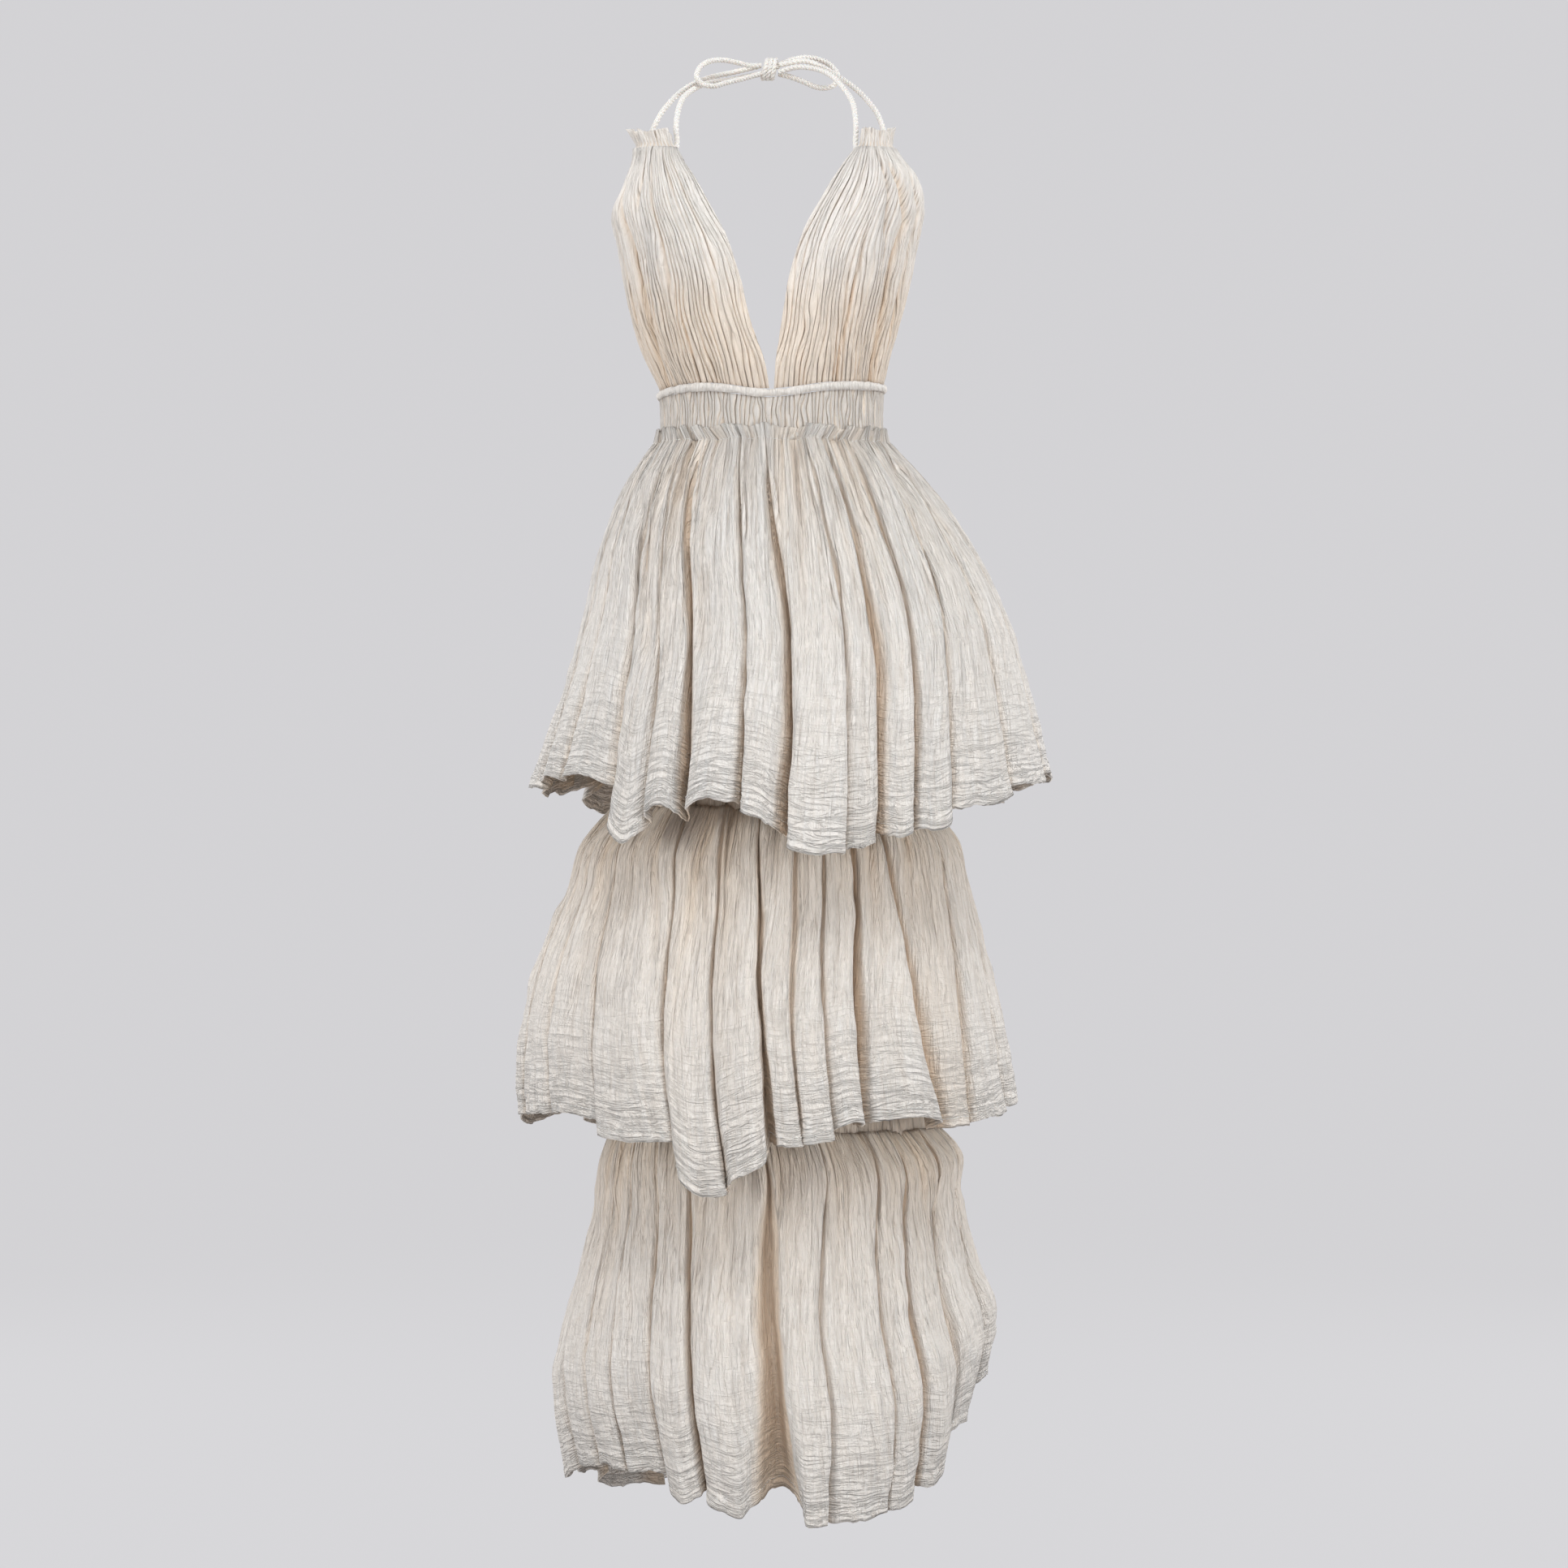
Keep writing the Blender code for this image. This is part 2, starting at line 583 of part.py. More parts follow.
def dress():
    """Builds every piece of the dress."""
    for old in list(bpy.data.objects):
        bpy.data.objects.remove(old)
    gauze = cotton("cream_gauze", CREAM, 0.9)
    twist = cotton("cream_cord", CORD_CREAM, 0.85)

    bodice_panel("bodice_right", -1, BODICE_RIGHT, gauze)
    bodice_panel("bodice_left", 1, BODICE_LEFT, gauze)
    casing("casing_right", -1, BODICE_RIGHT[-1], gauze)
    casing("casing_left", 1, BODICE_LEFT[-1], gauze)
    waist_piping(gauze)
    waistband(gauze)
    tier("tier_1", TIER_1_SEAM, TIER_1_FORM, all_folds(TIER_1_FRONT, 13, 26, 40), gauze, HEADING_TOP)
    tier("tier_2", TIER_2_SEAM, TIER_2_FORM, all_folds(TIER_2_FRONT, 11, 28, 30), gauze)
    tier("tier_3", TIER_3_SEAM, TIER_3_FORM, all_folds(TIER_3_FRONT, 10, 28, 85), gauze)
    underskirt(gauze)

    cord("cord_right_inner", RIGHT_INNER, twist)
    cord("cord_right_outer", RIGHT_OUTER, twist)
    cord("cord_left_inner", LEFT_INNER, twist)
    cord("cord_left_outer", LEFT_OUTER, twist)
    cord("bow_loop_right", RIGHT_LOOP, twist)
    cord("bow_loop_left", LEFT_LOOP, twist)
    bow_knot(twist)


dress()
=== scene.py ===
"""A halter-neck maxi dress in crinkled cotton gauze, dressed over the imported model.

Sizes are in millimetres, and MM turns them into metres. The frame is the model's: the origin is where
the tied cords rest on the nape, +Z is up, the front faces -Y and +X is the wearer's left.
"""

import json
import math
from collections import namedtuple

import bmesh
import bpy
import numpy as np
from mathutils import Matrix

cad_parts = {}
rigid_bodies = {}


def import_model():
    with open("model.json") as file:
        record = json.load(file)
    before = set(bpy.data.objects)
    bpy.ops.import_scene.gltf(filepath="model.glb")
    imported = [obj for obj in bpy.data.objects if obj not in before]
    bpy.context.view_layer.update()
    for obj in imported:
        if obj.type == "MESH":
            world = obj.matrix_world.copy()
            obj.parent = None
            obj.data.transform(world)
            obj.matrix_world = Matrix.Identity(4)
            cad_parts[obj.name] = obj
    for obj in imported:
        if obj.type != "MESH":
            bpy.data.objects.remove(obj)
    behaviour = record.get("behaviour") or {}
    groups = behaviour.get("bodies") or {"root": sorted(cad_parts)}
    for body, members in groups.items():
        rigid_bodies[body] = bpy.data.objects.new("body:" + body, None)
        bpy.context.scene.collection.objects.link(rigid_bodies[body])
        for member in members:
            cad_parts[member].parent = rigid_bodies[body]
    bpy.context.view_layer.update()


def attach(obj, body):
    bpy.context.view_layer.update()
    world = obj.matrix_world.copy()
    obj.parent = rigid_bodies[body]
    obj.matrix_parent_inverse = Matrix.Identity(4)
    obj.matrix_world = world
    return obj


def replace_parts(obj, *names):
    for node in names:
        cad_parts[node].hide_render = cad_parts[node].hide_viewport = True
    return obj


for old in list(bpy.data.objects):
    bpy.data.objects.remove(old)
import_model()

# The camera.
# It is level and square to the dress's front, five metres from the dress's middle, with a long lens.
MM = 0.001
CAMERA_PLACE = (0.0152, -5.075, -0.7542)
LENS_MM, SENSOR_MM = 110.6, 36.0


def in_scene(name, data):
    """A new object in the scene."""
    made = bpy.data.objects.new(name, data)
    bpy.context.scene.collection.objects.link(made)
    return made


camera = in_scene("camera", bpy.data.cameras.new("camera"))
camera.data.lens = LENS_MM
camera.data.sensor_width = SENSOR_MM
camera.location = CAMERA_PLACE
camera.rotation_euler = (math.pi / 2, 0, 0)
bpy.context.scene.camera = camera

# The studio.
# A pale grey sweep runs under and behind the dress. Broad soft lights stand at both sides, above and
# behind, so the folds shade away from them, and the room fills in the rest.
STUDIO_GREY = (0.651, 0.645, 0.663, 1.0)
ROOM_FILL = 0.72
FLOOR_Z = -1.75
FLOOR_SHADE = 0.06
PAPER_GLOW, PAPER_FILL = 0.955, 0.62
SWEEP_FRONT, SWEEP_BEND, SWEEP_RADIUS, SWEEP_TOP, SWEEP_HALF_WIDTH = -9, 6, 2, 9, 14
LIGHTS_AIM = (0.0, -0.1, -0.75)
# Each light's name, place, colour, power in watts and size.
SOFT_LIGHTS = (
    ("key_left", (-2.9, -2.2, -0.5), (0.9, 0.96, 1.0), 51.0, 1.3),
    ("key_right", (3.0, -1.9, -0.7), (0.9, 0.96, 1.0), 51.0, 1.3),
    ("top", (0.1, -2.1, 2.4), (0.88, 0.95, 1.0), 55.0, 1.1),
    ("warm_front", (0.3, -4.6, -0.9), (1.0, 0.93, 0.85), 10.0, 2.6),
    ("back_left", (-2.7, 3.2, 0.2), (0.96, 0.98, 1.0), 56.0, 1.3),
    ("back_right", (2.7, 3.2, 0.2), (0.96, 0.98, 1.0), 56.0, 1.3),
)


def seen_or_lit(tree, seen, lit):
    """One strength for what the camera sees of the room, and another for the light it gives."""
    path = tree.nodes.new("ShaderNodeLightPath")
    mix = tree.nodes.new("ShaderNodeMix")
    mix.inputs["A"].default_value = lit
    mix.inputs["B"].default_value = seen
    tree.links.new(path.outputs["Is Camera Ray"], mix.inputs["Factor"])
    return mix.outputs["Result"]


def blank_material(name, values):
    """A new material. Returns it, its node tree and its shader, set to the values by socket name."""
    made = bpy.data.materials.new(name)
    made.use_nodes = True
    shader = made.node_tree.nodes["Principled BSDF"]
    for socket, value in values.items():
        shader.inputs[socket].default_value = value
    return made, made.node_tree, shader


world = bpy.data.worlds.new("studio")
world.use_nodes = True
backdrop = world.node_tree.nodes["Background"]
backdrop.inputs["Color"].default_value = STUDIO_GREY
world.node_tree.links.new(seen_or_lit(world.node_tree, 1.0, ROOM_FILL), backdrop.inputs["Strength"])
bpy.context.scene.world = world
bpy.context.scene.view_settings.view_transform = "Standard"

for light_name, place, colour, power, size in SOFT_LIGHTS:
    lamp = bpy.data.lights.new(light_name, "AREA")
    lamp.energy = power
    lamp.color = colour
    lamp.size = size
    soft_light = in_scene(light_name, lamp)
    soft_light.location = place
    aim = np.array(LIGHTS_AIM) - np.array(place)
    soft_light.rotation_euler = (math.acos(-aim[2] / np.linalg.norm(aim)), 0, math.atan2(-aim[0], aim[1]))

profile = [(SWEEP_FRONT, FLOOR_Z)]
for bend in np.linspace(0, math.pi / 2, 13):
    rise = SWEEP_RADIUS - SWEEP_RADIUS * math.cos(bend)
    profile.append((SWEEP_BEND + SWEEP_RADIUS * math.sin(bend), FLOOR_Z + rise))
profile.append((SWEEP_BEND + SWEEP_RADIUS, SWEEP_TOP))
sweep = [(side * SWEEP_HALF_WIDTH, y, z) for y, z in profile for side in (-1, 1)]
floor_mesh = bpy.data.meshes.new("floor")
floor_mesh.from_pydata(sweep, [], [(k, k + 1, k + 3, k + 2) for k in range(0, len(sweep) - 2, 2)])
floor_mesh.shade_smooth()
paper_values = {"Base Color": (FLOOR_SHADE, FLOOR_SHADE, FLOOR_SHADE, 1), "Roughness": 1.0}
paper_values.update({"Specular IOR Level": 0.0, "Emission Color": STUDIO_GREY})
paper, paper_tree, paper_shader = blank_material("studio_paper", paper_values)
glow = seen_or_lit(paper_tree, PAPER_GLOW, PAPER_FILL)
paper_tree.links.new(glow, paper_shader.inputs["Emission Strength"])
floor_mesh.materials.append(paper)
in_scene("floor", floor_mesh)

# The neck cords.
# One cord of three twisted cotton strands runs through each casing, and both of its ends rise to the
# nape. Each strap is 6 mm thick and hangs taut.
CORD = 6.0
STRAND_COUNT = 3
STRAND_GROOVE = 0.27
STRAP_PITCH = 15.0
ROUTE_STEP, RING_STEP, RING_SIDES = 3.0, 1.0, 24
STRAP_ROUTES = {
    "cord_right_inner": (
        (-96, -123.5, -103.2), (-94.8, -119, -94), (-96, -113, -80), (-95, -103, -64), (-90, -80, -44),
        (-81, -52, -31), (-64, -24, -19), (-42, -3, -13), (-10.3, 12.3, -4.5),
    ),
    "cord_right_outer": (
        (-132.7, -98.3, -103.2), (-128.5, -93.5, -95), (-120.5, -91, -77), (-113, -83, -61),
        (-101, -66, -43), (-84, -40, -25), (-63, -14, -12), (-40, 6, -4), (-10.3, 12.3, 4.2),
    ),
    "cord_left_inner": (
        (89.4, -126.7, -103.2), (88.6, -122, -95), (89.3, -117, -84), (89, -109, -70), (87, -92, -52),
        (78.6, -62, -32), (62, -33, -11), (45, -14, -2), (27, -2, 0.5), (10.3, 4.5, -3.5),
    ),
    "cord_left_outer": (
        (123.7, -98.3, -103.2), (121.5, -93.5, -95), (118.5, -92, -80), (113, -84, -62), (103, -68, -45),
        (88, -47, -27), (72, -27, -13), (56, -12, -1), (38, 0, 7.5), (10.3, 4.5, 4.2),
    ),
}


def through(knots, values, at):
    """The smooth curve through the points (knots, values), read at the places at."""
    knots, values, at = (np.asarray(x, float) for x in (knots, values, at))
    slopes = np.gradient(values, knots)
    left = np.clip(np.searchsorted(knots, at) - 1, 0, len(knots) - 2)
    right = left + 1
    step = knots[right] - knots[left]
    s = (at - knots[left]) / step
    return (
        (1 + 2 * s) * (1 - s) ** 2 * values[left]
        + s * (1 - s) ** 2 * step * slopes[left]
        + s**2 * (3 - 2 * s) * values[right]
        + s**2 * (s - 1) * step * slopes[right]
    )


def node(tree, kind, inputs=None, **settings):
    """Adds a node. inputs are values or sockets by name or number. settings are its own attributes."""
    made = tree.nodes.new(kind)
    for key, value in settings.items():
        setattr(made, key, value)
    for key, value in (inputs or {}).items():
        if isinstance(value, bpy.types.NodeSocket):
            tree.links.new(value, made.inputs[key])
        else:
            made.inputs[key].default_value = value
    return made


def result(tree, kind, inputs=None, **settings):
    """Adds a node and returns its first output."""
    return node(tree, kind, inputs, **settings).outputs[0]


def reckon(tree, operation, first, second=0.0):
    """A Math node's result."""
    return result(tree, "ShaderNodeMath", {0: first, 1: second}, operation=operation)


def blend(tree, factor, colour, tint):
    """A mix of two colours."""
    inputs = {"Factor": factor, "A": colour, "B": tint}
    return node(tree, "ShaderNodeMix", inputs, data_type="RGBA").outputs["Result"]


def new_tree(name, **inputs):
    """A geometry tree with named inputs. Returns the tree and its group input node's outputs."""
    tree = bpy.data.node_groups.new(name, "GeometryNodeTree")
    tree.interface.new_socket("Geometry", in_out="INPUT", socket_type="NodeSocketGeometry")
    for label, kind in inputs.items():
        tree.interface.new_socket(label, in_out="INPUT", socket_type="NodeSocket" + kind)
    tree.interface.new_socket("Geometry", in_out="OUTPUT", socket_type="NodeSocketGeometry")
    return tree, tree.nodes.new("NodeGroupInput").outputs


def close_tree(tree, geometry, finish):
    """Ends a tree in Realize Instances and Set Material."""
    real = result(tree, "GeometryNodeRealizeInstances", {"Geometry": geometry})
    done = result(tree, "GeometryNodeSetMaterial", {"Geometry": real, "Material": finish})
    tree.links.new(done, tree.nodes.new("NodeGroupOutput").inputs[0])


def grown(name, tree, line_sets, values):
    """The mesh that a tree grows along lines of points in millimetres, as one object."""
    points = [tuple(p) for line in line_sets for p in np.asarray(line) * MM]
    edges, first = [], 0
    for line in line_sets:
        edges += [(first + k, first + k + 1) for k in range(len(line) - 1)]
        first += len(line)
    guide = bpy.data.meshes.new(name + "_guide")
    guide.from_pydata(points, edges, [])
    carrier = in_scene(name + "_guide", guide)
    modifier = carrier.modifiers.new("grow", "NODES")
    modifier.node_group = tree
    for item in tree.interface.items_tree:
        if item.in_out == "INPUT" and item.name in values:
            modifier[item.identifier] = values[item.name]
    graph = bpy.context.evaluated_depsgraph_get()
    mesh = bpy.data.meshes.new_from_object(carrier.evaluated_get(graph), depsgraph=graph)
    carrier.modifiers.remove(modifier)
    bpy.data.objects.remove(carrier)
    mesh.name = name
    return in_scene(name, mesh)


def twisted_cord_tree():
    """Three lobes swept along a line, turning once in each pitch."""
    tree, given = new_tree(
        "twisted_cord", Radius="Float", Pitch="Float", Groove="Float", Step="Float", Finish="Material"
    )
    line = result(tree, "GeometryNodeMeshToCurve", {"Mesh": given["Geometry"]})
    stepped = {"Curve": line, "Length": given["Step"]}
    line = result(tree, "GeometryNodeResampleCurve", stepped, mode="LENGTH")
    along = node(tree, "GeometryNodeSplineParameter").outputs["Length"]
    turns = reckon(tree, "DIVIDE", along, given["Pitch"])
    tilt = reckon(tree, "MULTIPLY", turns, 2 * math.pi)
    line = result(tree, "GeometryNodeSetCurveTilt", {"Curve": line, "Tilt": tilt})
    ring = result(tree, "GeometryNodeCurvePrimitiveCircle", {"Resolution": RING_SIDES, "Radius": 1.0})
    share = node(tree, "GeometryNodeSplineParameter").outputs["Factor"]
    turn = reckon(tree, "MULTIPLY", reckon(tree, "MULTIPLY", share, math.pi), STRAND_COUNT)
    lobe = reckon(tree, "ABSOLUTE", reckon(tree, "COSINE", turn))
    cut = reckon(tree, "MULTIPLY", reckon(tree, "SUBTRACT", 1.0, lobe), given["Groove"])
    out = reckon(tree, "MULTIPLY", reckon(tree, "SUBTRACT", 1.0, cut), given["Radius"])
    place = {0: result(tree, "GeometryNodeInputPosition"), "Scale": out}
    place = result(tree, "ShaderNodeVectorMath", place, operation="SCALE")
    ring = result(tree, "GeometryNodeSetPosition", {"Geometry": ring, "Position": place})
    swept = {"Curve": line, "Profile Curve": ring, "Fill Caps": True}
    close_tree(tree, result(tree, "GeometryNodeCurveToMesh", swept), given["Finish"])
    return tree


def smooth_line(route, step):
    """The smooth curve through a route of points, as points about a step apart."""
    route = np.array(route, float)
    along = np.concatenate([[0], np.cumsum(np.linalg.norm(np.diff(route, axis=0), axis=1))])
    places = np.linspace(0, along[-1], max(4, round(along[-1] / step)) + 1)
    return np.stack([through(along, route[:, k], places) for k in range(3)], axis=1)


def cord_cotton(name, colour, tint):
    """Matt twisted cotton: a fine fuzz of fibres over each strand, a little uneven in colour."""
    values = {"Roughness": 0.9, "Sheen Weight": 0.25, "Subsurface Weight": 0.15}
    values.update({"Subsurface Radius": (1.0, 0.7, 0.5), "Subsurface Scale": 0.002})
    made, tree, shader = blank_material(name, values)
    place = node(tree, "ShaderNodeTexCoord").outputs["Object"]
    blotch = result(tree, "ShaderNodeTexNoise", {"Vector": place, "Scale": 260.0, "Detail": 3.0})
    fibre = result(tree, "ShaderNodeTexNoise", {"Vector": place, "Scale": 1900.0, "Detail": 2.0})
    tree.links.new(blend(tree, blotch, colour, tint), shader.inputs["Base Color"])
    bump = result(tree, "ShaderNodeBump", {"Height": fibre, "Strength": 0.5, "Distance": 0.0004})
    tree.links.new(bump, shader.inputs["Normal"])
    return made


twisted_cord = twisted_cord_tree()
cord_finish = cord_cotton("cream_cord", (0.88, 0.845, 0.80, 1), (0.82, 0.755, 0.68, 1))


def cord_piece(name, routes, pitch):
    """Twisted cords along routes, as one piece."""
    values = {"Radius": CORD / 2 * MM, "Pitch": pitch * MM, "Groove": STRAND_GROOVE}
    values.update({"Step": RING_STEP * MM, "Finish": cord_finish})
    made = grown(name, twisted_cord, [smooth_line(route, ROUTE_STEP) for route in routes], values)
    made.data.shade_smooth()
    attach(made, "root")
    return made


def hung_cord(cord_name, route, pitch):
    """One stretch of the cord, from where it leaves the cloth or the knot to where it is tied."""
    made = cord_piece(cord_name + "_twist", [route], pitch)
    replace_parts(made, cord_name)


for cord_name, route in STRAP_ROUTES.items():
    hung_cord(cord_name, route, STRAP_PITCH)

# The bow at the nape.
# The straps' ends are tied in a bow of two loops. The wearer's right loop lies in front of its straps and
# the left one behind them, and the knot is three turns of the same cord, with a fourth pulled across.
LOOP_PITCH = 12.5
LOOP_ROUTES = {
    "bow_loop_right": (
        (-9.3, 4.8, 3.6), (-20, 0, 2.5), (-35.2, -10, 4.5), (-52.9, -24, 5), (-67.2, -38, -0.5),
        (-74.3, -48, -9.3), (-75.9, -52, -17.4), (-70.3, -50, -23.9), (-60.7, -42, -25),
        (-44.6, -26, -19), (-28.5, -12, -13), (-9.3, 4.8, -5.2),
    ),
    "bow_loop_left": (
        (9.3, 12.1, 4.5), (21, 15, 10.4), (38.5, 15, 13.6), (55, 9, 9.5), (66.4, 3, 1.5),
        (71.9, -1, -8.3), (68, -1, -18), (59.7, 2, -20.5), (48, 8, -18.5), (36.9, 12, -13),
        (21, 14, -7), (9.3, 12.1, -4.5),
    ),
}
KNOT_CENTRE = (0.0, 9.0, 0.0)
KNOT_HALF_DEPTH, KNOT_HALF_HEIGHT = 6.6, 9.6
KNOT_LEAN = 0.6
KnotTurn = namedtuple("KnotTurn", "aside slant")
KNOT_TURNS = (KnotTurn(-4.4, 24.0), KnotTurn(0.0, 21.0), KnotTurn(4.4, 18.0))
CROSSING_SPAN = 70
CROSSING_WIDE, CROSSING_DEEP, CROSSING_RISE, CROSSING_Z = 9.0, 4.5, 5.0, -2.0

for cord_name, route in LOOP_ROUTES.items():
    hung_cord(cord_name, route, LOOP_PITCH)

knot_x, knot_y, knot_z = KNOT_CENTRE
knot_routes = []
for aside, slant in KNOT_TURNS:
    turn = np.radians(np.linspace(0, 360, 25) + 90)
    up = KNOT_HALF_HEIGHT * np.sin(turn)
    x = knot_x + aside + up * math.tan(math.radians(slant)) * KNOT_LEAN
    knot_routes.append(np.stack([x, knot_y + KNOT_HALF_DEPTH * np.cos(turn), knot_z + up], axis=1))
turn = np.radians(np.linspace(-CROSSING_SPAN, CROSSING_SPAN, 9))
x, z = CROSSING_WIDE * np.sin(turn), CROSSING_Z + CROSSING_RISE * np.sin(turn)
knot_routes.append(np.stack([x, knot_y - CROSSING_DEEP * np.cos(turn), z], axis=1))
knot = cord_piece("bow_knot_turns", knot_routes, LOOP_PITCH)
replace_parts(knot, "bow_knot")

# The gauze.
# Every cloth piece is one cotton gauze, crinkled in fine lines down the cloth and, towards a hem, across it.
# It is cream, with painted warm shade deep in folds and in crinkle troughs, and painted brown shade in
# creases.
BODY_X, BODY_Y = 2.5, -75.0
GAUZE = 0.9
CREAM = (0.865, 0.826, 0.787, 1)
SLUB = (0.825, 0.77, 0.712, 1)
# The two shade colours are painted shade, mixed into the cream in recesses and along the pleats' creases.
WARM_SHADE = (0.9, 0.715, 0.54, 1)
CREASE_SHADE = (0.55, 0.44, 0.345, 1)
CRINKLE_DEEP = 0.0048


def gauze_cloth(name, crinkle, level_crinkle, tone=1.0, pitch=None, wander=0.0):
    """Crinkled gauze. crinkle is how deep the lines down the cloth are, and level_crinkle those across.
    tone scales the cream of the whole piece; below 1 it is a painted shade of close gathering. The pleats'
    sharp creases lie pitch apart on the flat cloth, in metres, and wander by that many pitches."""
    values = {"Roughness": 0.92, "Specular IOR Level": 0.2, "Sheen Weight": 0.2, "Sheen Roughness": 0.6}
    made, tree, shader = blank_material(name, values)
    flat = result(tree, "ShaderNodeUVMap", uv_map="cloth")

    def held(label):
        return node(tree, "ShaderNodeAttribute", attribute_name=label).outputs["Fac"]

    def noise(scale, detail, distortion):
        stretched = result(tree, "ShaderNodeMapping", {"Vector": flat, "Scale": (*scale, 1.0)})
        inputs = {"Vector": stretched, "Scale": 1.0, "Detail": detail, "Distortion": distortion}
        return result(tree, "ShaderNodeTexNoise", inputs)

    def plus(first, second):
        return reckon(tree, "ADD", first, second)

    def less(first, second):
        return reckon(tree, "SUBTRACT", first, second)

    def times(value, share):
        return reckon(tree, "MULTIPLY", value, share)

    def creased(value):
        centred = reckon(tree, "ABSOLUTE", less(value, 0.5))
        return reckon(tree, "POWER", times(centred, 4.0), 0.6)

    rumples = creased(noise((75.0, 16.0), 2.0, 0.9))
    lines_down = creased(noise((190.0, 20.0), 2.0, 0.7))
    fine_down = creased(noise((430.0, 60.0), 2.0, 0.4))
    lines_across = creased(noise((24.0, 170.0), 3.0, 1.0))
    weave = noise((1500.0, 1500.0), 1.0, 0.0)
    slubs = noise((60.0, 900.0), 2.0, 0.0)
    blotch = noise((9.0, 7.0), 3.0, 0.0)
    near_hem = held("near_hem")
    down = plus(plus(times(rumples, 0.5), times(lines_down, 0.34)), times(fine_down, 0.16))
    upright = times(times(down, less(1.0, times(near_hem, 0.5))), crinkle)
    height = plus(upright, times(times(lines_across, near_hem), level_crinkle))
    height = plus(height, times(weave, 0.05))
    ground = [tuple(tone * c for c in colour[:3]) + (1,) for colour in (CREAM, SLUB)]
    shade = blend(tree, plus(times(slubs, 0.5), times(blotch, 0.5)), *ground)
    # Painted warm shade, from each point's held amount and more in the crinkles' troughs.
    recess_shade = plus(times(held("recess_shade"), 0.75), times(less(1.0, down), 0.26))
    shade = blend(tree, recess_shade, shade, WARM_SHADE)
    if pitch is not None:
        turns = times(result(tree, "ShaderNodeSeparateXYZ", {0: flat}), math.pi / pitch)
        if wander:
            turns = plus(turns, times(noise((38.0, 9.0), 2.0, 0.3), 2 * math.pi * wander))
        crest = reckon(tree, "ABSOLUTE", reckon(tree, "SINE", turns))
        line = reckon(tree, "MAXIMUM", less(1.0, times(crest, 2.1)), 0.0)
        broken = times(less(noise((150.0, 14.0), 2.0, 0.6), 0.36), 4.0)
        broken = result(tree, "ShaderNodeClamp", {"Value": broken})
        sharp = times(times(line, broken), held("drawn"))
        # Along each sharp crease the bump dips and a painted brown shade darkens the cream.
        height = less(height, times(sharp, 0.5))
        shade = blend(tree, times(sharp, 0.95), shade, CREASE_SHADE)
    bump = result(tree, "ShaderNodeBump", {"Height": height, "Strength": 1.0, "Distance": CRINKLE_DEEP})
    tree.links.new(bump, shader.inputs["Normal"])
    tree.links.new(shade, shader.inputs["Base Color"])
    return made


def ripples(across, down, seed, wrap=256):
    """Uneven waves from -1 to 1 at places across and down the cloth, about one wave to two units. They
    come round again after wrap units across."""
    field = np.random.default_rng(seed).uniform(-1, 1, (wrap, 256))
    across, down = np.broadcast_arrays(across, down)
    col, row = np.floor(across).astype(int), np.floor(down).astype(int)
    s, t = across - col, down - row
    s, t = s * s * (3 - 2 * s), t * t * (3 - 2 * t)
    upper = field[col % wrap, row % 256] * (1 - s) + field[(col + 1) % wrap, row % 256] * s
    lower = field[col % wrap, (row + 1) % 256] * (1 - s) + field[(col + 1) % wrap, (row + 1) % 256] * s
    return upper * (1 - t) + lower * t


def normals_of(grid, round_it):
    """The outward unit normal at each point of a grid of rows and columns."""
    if round_it:
        across = np.roll(grid, -1, axis=1) - np.roll(grid, 1, axis=1)
    else:
        across = np.gradient(grid, axis=1)
    normal = np.cross(across, np.gradient(grid, axis=0))
    normal /= np.linalg.norm(normal, axis=2, keepdims=True) + 1e-9
    outward = grid[..., :2] - (BODY_X, BODY_Y)
    return normal * np.sign((normal[..., :2] * outward).sum())


def face_outwards(mesh):
    """Turns every face of a closed shell outwards."""
    bm = bmesh.new()
    bm.from_mesh(mesh)
    bmesh.ops.recalc_face_normals(bm, faces=bm.faces)
    bm.to_mesh(mesh)
    bm.free()


def gauze_piece(name, mesh, finish):
    """The object of a finished cloth mesh, on the dress's one body."""
    mesh.shade_smooth()
    mesh.materials.append(finish)
    made = in_scene(name, mesh)
    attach(made, "root")
    return made


def four_corners(values, tail):
    """The values at the four corners of each cell of a grid."""
    corners = [values[:-1, :-1], values[:-1, 1:], values[1:, 1:], values[1:, :-1]]
    return np.stack(corners, axis=2).reshape(-1, 4, *tail)


